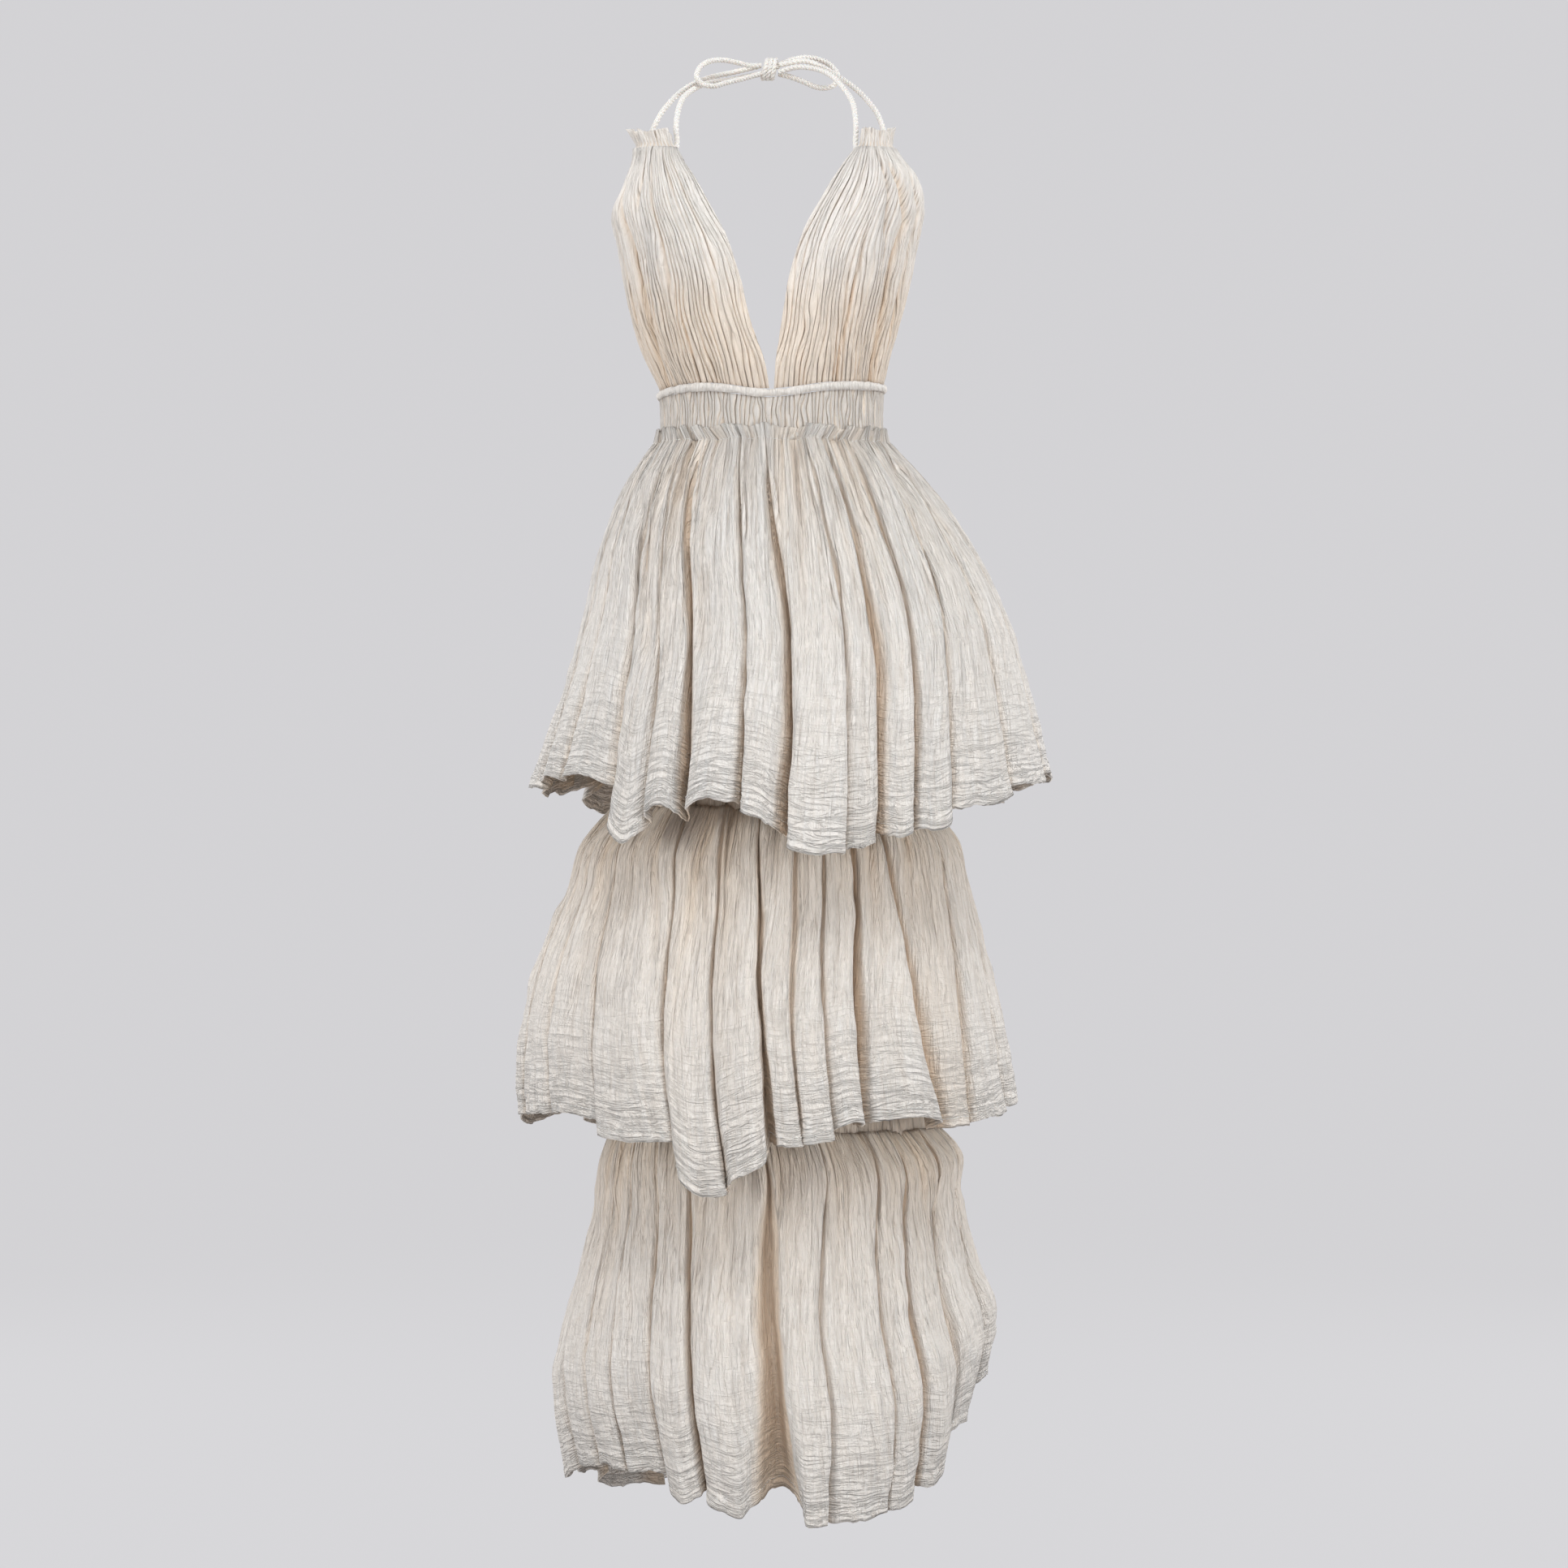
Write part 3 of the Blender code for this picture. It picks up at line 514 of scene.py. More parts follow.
def cloth_piece(name, grid, thickness, finish, round_it, flat, recess_shade=0.0, near_hem=0.0, drawn=1.0):
    """A thin closed shell of cloth on a grid of rows and columns in millimetres. flat is each point's place
    on the flat cloth in millimetres, with one column more where the cloth goes round."""
    rows, columns = grid.shape[:2]
    half = normals_of(grid, round_it) * np.broadcast_to(thickness, (rows, columns))[..., None] / 2
    points = np.concatenate([(grid + half).reshape(-1, 3), (grid - half).reshape(-1, 3)]) * MM
    behind = rows * columns
    number = np.arange(behind).reshape(rows, columns)
    spread = np.broadcast_to(flat, (rows, columns + round_it, 2)) * MM
    beyond = np.concatenate([number, number[:, :1]], axis=1) if round_it else number
    ring, place = four_corners(beyond, ()), four_corners(spread, (2,))
    edges = [(beyond[r, :-1], beyond[r, 1:], spread[r, :-1], spread[r, 1:]) for r in (0, rows - 1)]
    if not round_it:
        edges += [(number[:-1, c], number[1:, c], spread[:-1, c], spread[1:, c]) for c in (0, columns - 1)]
    faces = [ring, ring[:, ::-1] + behind]
    places = [place, place[:, ::-1]]
    for a, b, flat_a, flat_b in edges:
        faces.append(np.stack([a, b, b + behind, a + behind], axis=1))
        places.append(np.stack([flat_a, flat_b, flat_b, flat_a], axis=1))
    faces, places = np.concatenate(faces), np.concatenate(places)
    mesh = bpy.data.meshes.new(name)
    mesh.from_pydata(points.tolist(), [], faces.tolist())
    mesh.uv_layers.new(name="cloth").data.foreach_set("uv", places.astype(np.float32).ravel())
    # The first attribute is each point's amount of painted shade; the others set how strong the crinkles
    # across and the creases are.
    for label, value in (("recess_shade", recess_shade), ("near_hem", near_hem), ("drawn", drawn)):
        held = np.broadcast_to(value, (rows, columns)).ravel()
        layer = mesh.attributes.new(label, "FLOAT", "POINT")
        layer.data.foreach_set("value", np.concatenate([held, held]).astype(np.float32))
    face_outwards(mesh)
    return gauze_piece(name, mesh, finish)


def layered(*parts):
    """Grids of numbers, or rows and columns of them, as one grid of points."""
    return np.stack(np.broadcast_arrays(*parts), axis=2)


def oval(angle, centre_x, centre_y, half_width, half_depth):
    """The point of an oval at an angle from the front, which grows towards the wearer's left."""
    turn = np.radians(angle)
    return centre_x + half_width * np.sin(turn), centre_y - half_depth * np.cos(turn)


def column(table, name, at):
    """One column of a table of sections, read at the shares `at` of the way along the table."""
    heights = np.array([row.z for row in table], float)
    shares = (heights - heights[0]) / (heights[-1] - heights[0])
    return through(shares, [getattr(row, name) for row in table], at)


# The waist's rolled piping.
# A strip of the gauze is rolled into a soft cord about 8 mm high and sewn round the top of the waistband.
# It rides up and down a little, and its turns show as slanting creases.
Wave = namedtuple("Wave", "angle rise")
PIPING_Z = -350.0
PIPING_HIGH, PIPING_DEEP = 8.0, 6.5
WAIST_HALF_WIDTH, WAIST_HALF_DEPTH = 117.5, 88.0
WAISTBAND_CLOTH = 2.2
PIPING_WAVES = (
    Wave(-180, 0), Wave(-90, -2.3), Wave(-29, 1.3), Wave(-4, -5), Wave(32, 3), Wave(90, 5), Wave(180, 0),
)
PIPING_STATIONS, PIPING_SIDES = 420, 14


def piping_height(angle):
    """The height of the piping's middle, which rides up and down round the waist."""
    turn = (np.asarray(angle, float) + 180) % 360 - 180
    knots = [wave.angle for wave in PIPING_WAVES]
    return PIPING_Z + through(knots, [wave.rise for wave in PIPING_WAVES], turn)


plain_gauze = gauze_cloth("cream_gauze_plain", 0.5, 0.5)

angle = np.arange(PIPING_STATIONS) * 360 / PIPING_STATIONS
side = np.radians(np.arange(PIPING_SIDES) * 360 / PIPING_SIDES)
wrap_crease = 0.7 * np.abs(np.sin(angle[:, None] * math.pi / 14 + side[None, :])) + 0.8 * ripples(
    angle[:, None] / 6, np.full((1, PIPING_SIDES), 0.5), 3, 60
)
wrap_crease = wrap_crease + 0.5 * ripples(angle[:, None] / 1.5, side[None, :] / 1.2, 4, 240)
radius_out = PIPING_DEEP / 2 + wrap_crease - 0.3
radius_up = PIPING_HIGH / 2 + wrap_crease - 0.3
out = radius_out * np.cos(side)[None, :] - WAISTBAND_CLOTH / 2
x, y = oval(angle[:, None], BODY_X, BODY_Y, WAIST_HALF_WIDTH + out, WAIST_HALF_DEPTH + out)
z = piping_height(angle)[:, None] + radius_up * np.sin(side)[None, :]
points = layered(x, y, z).reshape(-1, 3) * MM
faces = []
for k in range(PIPING_STATIONS):
    here, there = k * PIPING_SIDES, (k + 1) % PIPING_STATIONS * PIPING_SIDES
    for s in range(PIPING_SIDES):
        up = (s + 1) % PIPING_SIDES
        faces.append((here + s, there + s, there + up, here + up))
piping_mesh = bpy.data.meshes.new("waist_piping_roll")
piping_mesh.from_pydata(points.tolist(), [], faces)
piping_mesh.uv_layers.new(name="cloth").data.foreach_set(
    "uv", np.concatenate([[points[v][0] * 2, points[v][2] * 2] for f in faces for v in f]).astype(np.float32)
)
piping = gauze_piece("waist_piping_roll", piping_mesh, plain_gauze)
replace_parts(piping, "waist_piping")

# The shirred waistband.
# A wide band of gauze is gathered on rows of elastic thread, so that it stands in fine upright ribs,
# crossed by shallow lines where the elastic runs.
WAISTBAND_FOOT = -402.5
SEAM_GAP = 0.3
BAND_RIBS = 156
RIB_PITCH = 8.3
RIB_DEPTH = 1.9
ELASTIC_ROWS, ELASTIC_DEPTH = 5, 0.15
BAND_COLUMNS, BAND_ROWS = 936, 16
BAND_HIGH = 55

share = np.linspace(0, 1, BAND_ROWS)[:, None]
angle = (np.arange(BAND_COLUMNS) * 360 / BAND_COLUMNS + 180)[None, :]
warp = 0.55 * ripples(angle / 3, share * 3, 11, 120)
ribs = angle / 360 * BAND_RIBS + warp
rib = np.abs(np.sin(math.pi * ribs)) ** 0.8
fullness = 0.75 + 0.45 * ripples(angle / 2, share * 1.5, 12, 180)
elastic = ELASTIC_DEPTH * np.cos(2 * math.pi * ELASTIC_ROWS * share)
waisting = 0.8 + 0.9 * np.sin(math.pi * share)
inset = waisting + RIB_DEPTH * (1 - rib) * fullness + elastic + GAUZE / 2
x, y = oval(angle, BODY_X, BODY_Y, WAIST_HALF_WIDTH - inset, WAIST_HALF_DEPTH - inset)
top = piping_height(angle) - PIPING_HIGH / 2 - SEAM_GAP
z = top + (WAISTBAND_FOOT - top) * share
unshirred = np.append(ribs, ribs[:, :1] + BAND_RIBS, axis=1) * RIB_PITCH
flat = layered(unshirred, share * BAND_HIGH)
# The band's cream is toned down as a painted shade of its close ribs, and there is more painted shade
# between the ribs.
shirred_gauze = gauze_cloth("cream_gauze_shirred", 0.5, 0.1, 0.76, RIB_PITCH * MM)
grid = layered(x, y, z)
band = cloth_piece("waistband_shirred", grid, GAUZE, shirred_gauze, True, flat, recess_shade=(1 - rib) * 0.9)
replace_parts(band, "waistband")

# The bodice panels.
# Each is one piece of gauze gathered on the neck cord above and into the waist below, so it stands in
# fine uneven pleats from end to end. A deep crease runs down it where it turns to the side.
Arc = namedtuple("Arc", "z side neck half_width half_depth centre_y back")
PIPING_CLEARANCE = 0.6
CLOTH = 1.6
BODICE_RIGHT = (
    Arc(-345, 114, -0.2, 116, 88, BODY_Y, 106),
    Arc(-324, 124, 4, 118, 97, BODY_Y, 104),
    Arc(-282, 139.5, 19, 110, 106, BODY_Y, 102),
    Arc(-240, 150, 29, 100, 113, BODY_Y, 100),
    Arc(-198, 158, 43, 90, 116, BODY_Y, 100),
    Arc(-158, 163, 64, 80, 105, -78, 100),
    Arc(-140, 154.5, 74, 68, 90, -83, 102),
    Arc(-124, 145, 85, 50, 66, -92, 105),
    Arc(-114, 139, 92, 34, 40, -102, 109),
    Arc(-108, 137, 97, 23, 25, -110, 112),
)
BODICE_LEFT = (
    Arc(-345, 119, 5, 116, 88, BODY_Y, 106),
    Arc(-324, 124, 6.5, 112, 97, BODY_Y, 104),
    Arc(-282, 135.5, 13, 107, 106, BODY_Y, 102),
    Arc(-240, 146, 20, 98, 113, BODY_Y, 100),
    Arc(-198, 154, 32, 89, 116, BODY_Y, 100),
    Arc(-158, 162, 53, 82, 105, -78, 100),
    Arc(-140, 159.5, 64, 74, 91, -83, 102),
    Arc(-124, 149, 75, 56, 68, -91, 105),
    Arc(-114, 136, 84, 36, 42, -101, 109),
    Arc(-108, 128, 91, 23, 25, -110, 112),
)
PANEL_PLEATS = 40
PLEAT_DEEP, PLEAT_PITCH = 4.2, 8.25
PANEL_LONG = 250
# How far a panel's top stands out and up to lap over the casing.
LAP_OUT, LAP_UP = 4.2, 7.5
PANEL_COLUMNS, PANEL_ROWS = 330, 62
EDGE_ROLL = 1.7
# A crease runs up a panel through places (share of the way up, share of the way round), deep and wide.
Crease = namedtuple("Crease", "places deep wide")
RIGHT_CREASES = (
    Crease(((0.0, 0.66), (0.29, 0.61), (0.56, 0.62), (0.74, 0.66), (0.9, 0.7)), 9.0, 0.028),
    Crease(((0.1, 0.8), (0.4, 0.78), (0.7, 0.83), (0.95, 0.86)), 5.0, 0.02),
    Crease(((0.72, 0.5), (0.85, 0.47), (1.0, 0.45)), 5.5, 0.018),
    Crease(((0.5, 0.4), (0.8, 0.37), (1.0, 0.36)), 4.0, 0.012),
    Crease(((0.78, 0.2), (1.0, 0.22)), 3.5, 0.014),
    Crease(((0.45, 0.12), (0.8, 0.13), (1.0, 0.14)), 2.6, 0.012),
)
LEFT_CREASES = (
    Crease(((0.0, 0.6), (0.3, 0.58), (0.5, 0.58), (0.7, 0.62), (0.83, 0.52), (0.98, 0.38)), 9.0, 0.026),
    Crease(((0.2, 0.7), (0.5, 0.72), (0.75, 0.74), (0.92, 0.6)), 6.0, 0.022),
    Crease(((0.6, 0.5), (0.8, 0.42), (1.0, 0.3)), 5.0, 0.014),
    Crease(((0.0, 0.33), (0.25, 0.33), (0.5, 0.36), (0.7, 0.35)), 4.0, 0.010),
    Crease(((0.1, 0.84), (0.5, 0.86), (0.85, 0.8)), 5.0, 0.018),
    Crease(((0.7, 0.18), (1.0, 0.2)), 3.0, 0.014),
)


def neck_angle(side, neck, half_width):
    """The angle of an arc's neckline edge."""
    return np.degrees(np.arcsin(np.clip((neck - side) / half_width + 1, -1, 1)))


pleated_gauze = gauze_cloth("cream_gauze_pleated", 0.6, 0.2, 1.04, PLEAT_PITCH * MM)


def bodice_panel(name, node_name, side, arcs, creases, seed):
    """One gathered bodice panel. side is -1 for the wearer's right and 1 for the left."""
    share = np.linspace(0, 1, PANEL_ROWS)[:, None]
    across = np.linspace(0, 1, PANEL_COLUMNS)[None, :]
    part = {f: column(arcs, f, share[:, 0])[:, None] for f in Arc._fields}
    start = neck_angle(part["side"], part["neck"], part["half_width"])
    angle = start + (part["back"] - start) * across
    warp = 0.9 * ripples(across * 11, share * 4, seed) + 0.4 * ripples(across * 24, share * 9, seed + 1)
    pleats = across * PANEL_PLEATS + warp
    ridge = np.abs(np.sin(math.pi * pleats)) ** 0.6
    fullness = np.clip(0.6 + 0.6 * ripples(across * 34, share * 3, seed + 2), 0.15, 1.2)
    tight = np.clip(part["half_width"] / 55, 0.45, 1) * (0.8 + 0.3 * np.abs(2 * share - 1))
    crease = 0.0
    for places, deep, wide in creases:
        up, at = np.array(places).T
        middle = np.interp(share, up, at) + 0.006 * ripples(share * 7, 0.5 + 0 * share, seed + 5)
        starts = np.clip((share - up[0]) / 0.06 + (up[0] <= 0), 0, 1)
        ends = np.clip((up[-1] - share) / 0.1 + (up[-1] >= 1), 0, 1)
        trough = np.exp(-np.abs((across - middle) / wide) ** 1.5)
        crease = np.maximum(crease, deep * (starts * ends) * trough)
    crease *= np.clip(part["half_width"] / 60, 0.35, 1)
    inset = PLEAT_DEEP * (1 - ridge) * fullness * tight + crease + CLOTH / 2
    inset += 1.3 * ripples(across * 8, share * 5, seed + 3)
    inset += 0.6 * ripples(across * 50, share * 22, seed + 4)
    inset -= LAP_OUT * share**18
    middle_x = part["side"] - part["half_width"]
    x, y = oval(angle, middle_x, part["centre_y"], part["half_width"] - inset, part["half_depth"] - inset)
    foot = piping_height(side * angle) + PIPING_HIGH / 2 + PIPING_CLEARANCE
    height = part["z"] + (foot - arcs[0].z) * (1 - share) ** 3 + LAP_UP * share**14
    edge = np.minimum(across, 1 - across) * PANEL_COLUMNS
    thickness = GAUZE + (EDGE_ROLL - GAUZE) * (edge < 2.5)
    flat = layered(pleats * PLEAT_PITCH, share * PANEL_LONG)
    # Painted warm shade: in the pleats' troughs and deep creases, all over below the bust, and growing
    # towards the waist.
    shade_below_bust = 1 / (1 + np.exp((share - 0.42) / 0.05))
    recess_shade = (1 - ridge) ** 1.5 * fullness * (0.5 + 0.4 * shade_below_bust) + crease / 12
    recess_shade = np.clip(recess_shade + 0.5 * shade_below_bust + 0.15 * (1 - share), 0, 1)
    # drawn fades the creases, with their painted shade, across the bust.
    drawn = np.broadcast_to(1 - 0.5 * np.exp(-(((share - 0.62) / 0.17) ** 2)), recess_shade.shape)
    grid = layered(side * x, y, height)
    panel = cloth_piece(name, grid, thickness, pleated_gauze, False, flat, recess_shade, 0.0, drawn)
    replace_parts(panel, node_name)


bodice_panel("bodice_right_gathered", "bodice_right", -1, BODICE_RIGHT, RIGHT_CREASES, 21)
bodice_panel("bodice_left_gathered", "bodice_left", 1, BODICE_LEFT, LEFT_CREASES, 31)

# The casings.
# Each panel's top is turned over into a channel for the cord and gathered tight on it. Its edge stands up
# above a row of stitches as a small frill.
CASING_INSET, CASING_HIGH, CASING_DEEP = 1.5, 9.0, 7.4
FRILL_HIGH, FRILL_CLOTH = 20.0, 1.3
FRILL_WAVES, FRILL_WAVE = 6, 3.0
CASING_PUCKERS = 17
CASING_STATIONS = 260
CASING_LONG, CASING_RING_STEP = 140, 1.6


def casing(name, node_name, side, top, lean, flare_out, seed):
    """The gathered channel and the frill above it, swept along the panel's top edge. The frill leans out to
    the side, and flare_out is its width at its top beside that at its foot."""
    share = np.linspace(0, 1, CASING_STATIONS)[:, None]
    start = neck_angle(top.side, top.neck, top.half_width)
    angle = start + (top.back - start) * share
    middle_z = top.z + CLOTH / 2 + SEAM_GAP + CASING_HIGH / 2
    neck_z = middle_z + 0.42 * CASING_HIGH
    level = 0.5 + 0 * share
    uneven = 0.12 * ripples(share * 9, level, seed + 3)
    wave = np.sin(2 * math.pi * FRILL_WAVES * (share + uneven)) + 0.7 * ripples(share * 30, level, seed)
    wave *= FRILL_WAVE
    warp = 0.4 * ripples(share * 12, level, seed + 1)
    pucker = np.abs(np.sin(math.pi * (share * CASING_PUCKERS + warp))) ** 0.8
    ends = np.clip(np.minimum(share, 1 - share) / 0.08, 0, 1) ** 0.5
    wave *= 0.3 + 0.7 * ends
    crest = neck_z + FRILL_HIGH * (0.86 + 0.1 * np.cos(7 * share)) * (0.5 + 0.5 * ends)
    crest = crest + 2.4 * ripples(share * 9, level, seed + 2) + 0.6 * ripples(share * 50, level, seed + 4)
    turn = np.radians(np.linspace(-220, 40, 14))[None, :]
    swell = CASING_DEEP / 2 * (0.78 + 0.32 * pucker)
    round_out = swell * np.cos(turn)
    round_z = middle_z + CASING_HIGH / 2 * np.sin(turn) * (0.96 + 0.06 * pucker)
    climb = np.linspace(0.08, 1, 9)[None, :]
    leaf = FRILL_CLOTH / 2 * (1 + 0.35 * (climb > 0.95))
    flute = (1.6 * (pucker - 0.6)) * (1 - climb) + wave * climb**1.3
    frill_z = neck_z + (crest - neck_z) * climb
    out = np.concatenate([round_out, flute + leaf, (flute - leaf)[:, ::-1]], axis=1)
    z = np.concatenate([round_z + 0 * share, frill_z, frill_z[:, ::-1]], axis=1)
    risen = np.clip((z - neck_z) / FRILL_HIGH, 0, 1)
    flare = 1 + (flare_out - 1) * risen
    wide, deep = ((size - CASING_INSET) * flare + out for size in (top.half_width, top.half_depth))
    x, y = oval(angle, top.side - top.half_width, top.centre_y, wide, deep)
    points = layered(side * (x + lean * risen), y, z)
    stations, ring = points.shape[:2]
    faces = [
        (k * ring + p, k * ring + (p + 1) % ring, (k + 1) * ring + (p + 1) % ring, (k + 1) * ring + p)
        for k in range(stations - 1)
        for p in range(ring)
    ]
    faces += [tuple(range(ring)), tuple((stations - 1) * ring + p for p in reversed(range(ring)))]
    mesh = bpy.data.meshes.new(name)
    mesh.from_pydata((points.reshape(-1, 3) * MM).tolist(), [], faces)
    along_ring = np.arange(ring)[None, :] * CASING_RING_STEP
    flat = layered(share * CASING_LONG, along_ring).reshape(-1, 2) * MM
    loops = np.empty(len(mesh.loops), np.int32)
    mesh.loops.foreach_get("vertex_index", loops)
    mesh.uv_layers.new(name="cloth").data.foreach_set("uv", flat[loops].astype(np.float32).ravel())
    # Painted shade between the puckers, strongest along the stitches at the frill's foot.
    held = mesh.attributes.new("recess_shade", "FLOAT", "POINT")
    depth = ((1 - pucker) * (0.25 + 0.7 * np.exp(-(((z - neck_z) / 3.5) ** 2)))).ravel()
    held.data.foreach_set("value", depth.astype(np.float32))
    face_outwards(mesh)
    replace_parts(gauze_piece(name, mesh, plain_gauze), node_name)


casing("casing_right_gathered", "casing_right", -1, BODICE_RIGHT[-1], 6.0, 1.08, 41)
casing("casing_left_gathered", "casing_left", 1, BODICE_LEFT[-1], 2.0, 0.86, 45)

# The tiers.
# Three flounces of gauze are gathered into their seams and fall in deep uneven folds to wavy hems, each
# rolled narrow and stitched. The first has a small heading that stands above its seam.
Form = namedtuple("Form", "z centre_x half_width half_depth")
Fold = namedtuple("Fold", "top hem depth mouth lean drop proud low")
GATHER_DEPTH, GATHER_MOUTH, GATHER_DIMPLE = 5.0, 5.0, 3.5
FOLD_OPENING, SHOULDER_INSET, SHOULDER_TO_RIDGE = 0.9, 0.1, 0.6
HEADING_TOP, HEADING_STAND, HEADING_HUG = -386.5, 0.2, 0.72
SEAM_PINCH = 1.8
WANDER = 0.22
TIER_GATHERS = 64
GATHER_PITCH = 15.0
TIER_1_FORM = (
    Form(-400.5, 2.5, 124.3, 94.8),
    Form(-432, 6, 150, 116),
    Form(-494, 15.5, 187, 147),
    Form(-583, 28, 221, 175),
    Form(-667, 28, 244, 195),
    Form(-751.5, 25, 267, 212),
)
TIER_1_FRONT = (
    Fold(-78, -80, 14, 10, 0, 10, 0, -4),
    Fold(-66, -63, 10, 12, 0, 0, 2, -8),
    Fold(-54, -45, 32, 8, 2, 16, 5, 62),
    Fold(-45, -35, 12, 8, 0, 42, 6, 24),
    Fold(-35, -24.5, 40, 12, -2, 40, 4, 17),
    Fold(-15, -13, 28, 7, 2, 24, 7, 36),
    Fold(-3, -3, 40, 12, 2, 58, 9, 73),
    Fold(16, 11, 14, 5, -1, 72, 0, 66),
    Fold(26, 19.7, 34, 11, 0, 52, 4, 57),
    Fold(38, 27.5, 30, 8, 0, 48, 4, 49),
    Fold(52, 37, 20, 6, -2, 30, 0, 24),
    Fold(64, 57, 8, 12, 0, 8, 2, 3),
    Fold(77, 78, 10, 12, 0, -5, 0, -9),
)
TIER_2_FORM = (
    Form(-775, 4, 166.8, 132.8),
    Form(-814, 1, 195, 155),
    Form(-864.5, -1, 209, 166),
    Form(-936.5, -7, 231, 183),
    Form(-1014.5, -8.5, 247, 197),
    Form(-1101.5, -3, 255, 206),
)
TIER_2_FRONT = (
    Fold(-80, -80, 12, 12, 0, -8, 0, -10),
    Fold(-67, -60, 10, 12, 0, -12, 2, -14),
    Fold(-54, -41, 18, 8, 0, -4, 5, 10),
    Fold(-31, -21, 34, 7, 2, 10, 4, 64),
    Fold(-16.5, -9, 16, 5, 0, 62, 7, 40),
    Fold(-4, 2, 38, 9, -2, 12, 4, 16),
    Fold(7, 8.5, 14, 6, 0, 12, 4, 10),
    Fold(16, 16, 12, 6, 0, 2, 5, -8),
    Fold(26, 24, 40, 12, 0, -4, 6, -14),
    Fold(36, 45.5, 28, 22, -1, 2, -3, 0),
    Fold(64, 57, 14, 8, 0, -2, 4, -9),
    Fold(77, 74, 10, 10, 0, -14, 6, -20),
)
TIER_3_FORM = (
    Form(-1106.5, 6, 171.7, 137.7),
    Form(-1137, 11, 186, 150),
    Form(-1200, 8, 189, 156),
    Form(-1284, 2.5, 203, 168),
    Form(-1360, 5, 220, 182),
    Form(-1467.5, 5, 206, 184),
)
TIER_3_FRONT = (
    Fold(-82, -80, 14, 12, 0, -14, 0, -14),
    Fold(-67, -61, 12, 12, 0, -20, 2, -21),
    Fold(-56, -46, 10, 8, 0, -19, 3, -20),
    Fold(-44, -31.5, 28, 7, 2, -22, 4, 8),
    Fold(-31, -19.5, 32, 9, -2, -12, 4, 21),
    Fold(-5, 1, 48, 42, 2, -6, 8, 30),
    Fold(14, 16, 6, 10, 0, 27, 6, 24),
    Fold(32, 34, 12, 6, 0, 18, 2, 17),
    Fold(43, 45, 24, 10, 0, -4, 2, -1),
    Fold(60, 58, 12, 8, 0, -30, 5, -66),
    Fold(77, 77, 10, 10, 0, -88, 14, -105),
)
TIER_COLUMNS, TIER_ROWS = 700, 66
CURVE_BEND = 0.42
HEADING_ROWS = 5
HEM_ROLL = 1.6
STITCH_SPACING, STITCH_LONG, STITCH_THREAD = 4.2, 2.6, 0.35


def all_folds(front, back_count, back_depth, back_drop):
    """The front's folds from the table, and a like row of them round the back, made uneven by waves of
    their own numbers."""
    folds = list(front)
    first, last = front[-1], front[0]
    for k in range(1, back_count + 1):
        share = k / (back_count + 1)
        sway = math.sin(2.3 * k)
        hang = back_drop + 12 * math.sin(2.6 * k + 0.5)
        low = first.low + (last.low - first.low) * share + hang * math.sin(math.pi * share)
        folds.append(
            Fold(
                first.top + (last.top + 360 - first.top) * share + 1.5 * sway,
                first.hem + (last.hem + 360 - first.hem) * share + 3.0 * sway,
                depth=back_depth * (0.85 + 0.35 * math.sin(1.7 * k + 1)),
                mouth=9 + 3 * math.cos(2.9 * k),
                lean=2 * math.sin(2.1 * k),
                drop=low - 8 * math.sin(1.3 * k) - 8,
                proud=3 + 3 * math.cos(1.9 * k),
                low=low,
            )
        )
    return folds


def tier_points(form, folds, shares):
    """Rows of points at the shares of the way down a tier, four to a fold: place, depth in the fold, and
    how much of a ridge each is."""
    seam, hem = form[0].z, form[-1].z
    tables = {name: np.array([getattr(fold, name) for fold in folds], float) for name in Fold._fields}
    rows = []
    for share in shares:
        centre_x, half_width, half_depth = (column(form, name, share) for name in Form._fields[1:])
        spread = share**FOLD_OPENING
        valley = tables["top"] + (tables["hem"] - tables["top"]) * spread
        turn = 2.4 * np.arange(len(folds)) + form[0].z
        sway = np.sin(7 * share + turn) + 0.6 * np.sin(15 * share + 1.7 * turn)
        valley = valley + WANDER * sway * min(1, 5 * share)
        following = np.append(valley[1:], valley[0] + 360)
        depth = GATHER_DEPTH + (tables["depth"] - GATHER_DEPTH) * spread
        mouth = GATHER_MOUTH + (tables["mouth"] - GATHER_MOUTH) * spread
        mouth = mouth * (1 + 0.16 * np.sin(9 * share + 2.2 * turn))
        lean = (tables["lean"] + 1.4 * np.sin(1.9 * turn)) * spread
        half_mouth = np.degrees(mouth / 2 / half_depth)
        shoulder_in = SHOULDER_INSET * depth
        proud = tables["proud"] * spread
        dimple = GATHER_DIMPLE * (1 - share) ** 2
        ridge_drop = SHOULDER_TO_RIDGE * tables["low"]
        left_drop = (1 - SHOULDER_TO_RIDGE) * tables["drop"]
        right_mouth, right_in, right_drop = (np.roll(x, -1) for x in (half_mouth, shoulder_in, left_drop))
        points = (
            (valley + lean, depth, tables["drop"], 0.0),
            (valley + half_mouth, shoulder_in - proud, ridge_drop + left_drop, 0.5),
            ((valley + following) / 2, dimple - proud, tables["low"], 1.0),
            (following - right_mouth, right_in - proud, ridge_drop + right_drop, 0.5),
        )
        four = [np.stack(np.broadcast_arrays(*point)) for point in points]
        angle, inset, drop, ridge = np.stack(four, axis=2).reshape(4, -1)
        x, y = oval(angle, centre_x, BODY_Y, half_width - inset, half_depth - inset)
        z = seam + (hem - drop - seam) * share
        rows.append(np.stack([x, y, z, inset, ridge], axis=1))
    return np.array(rows)


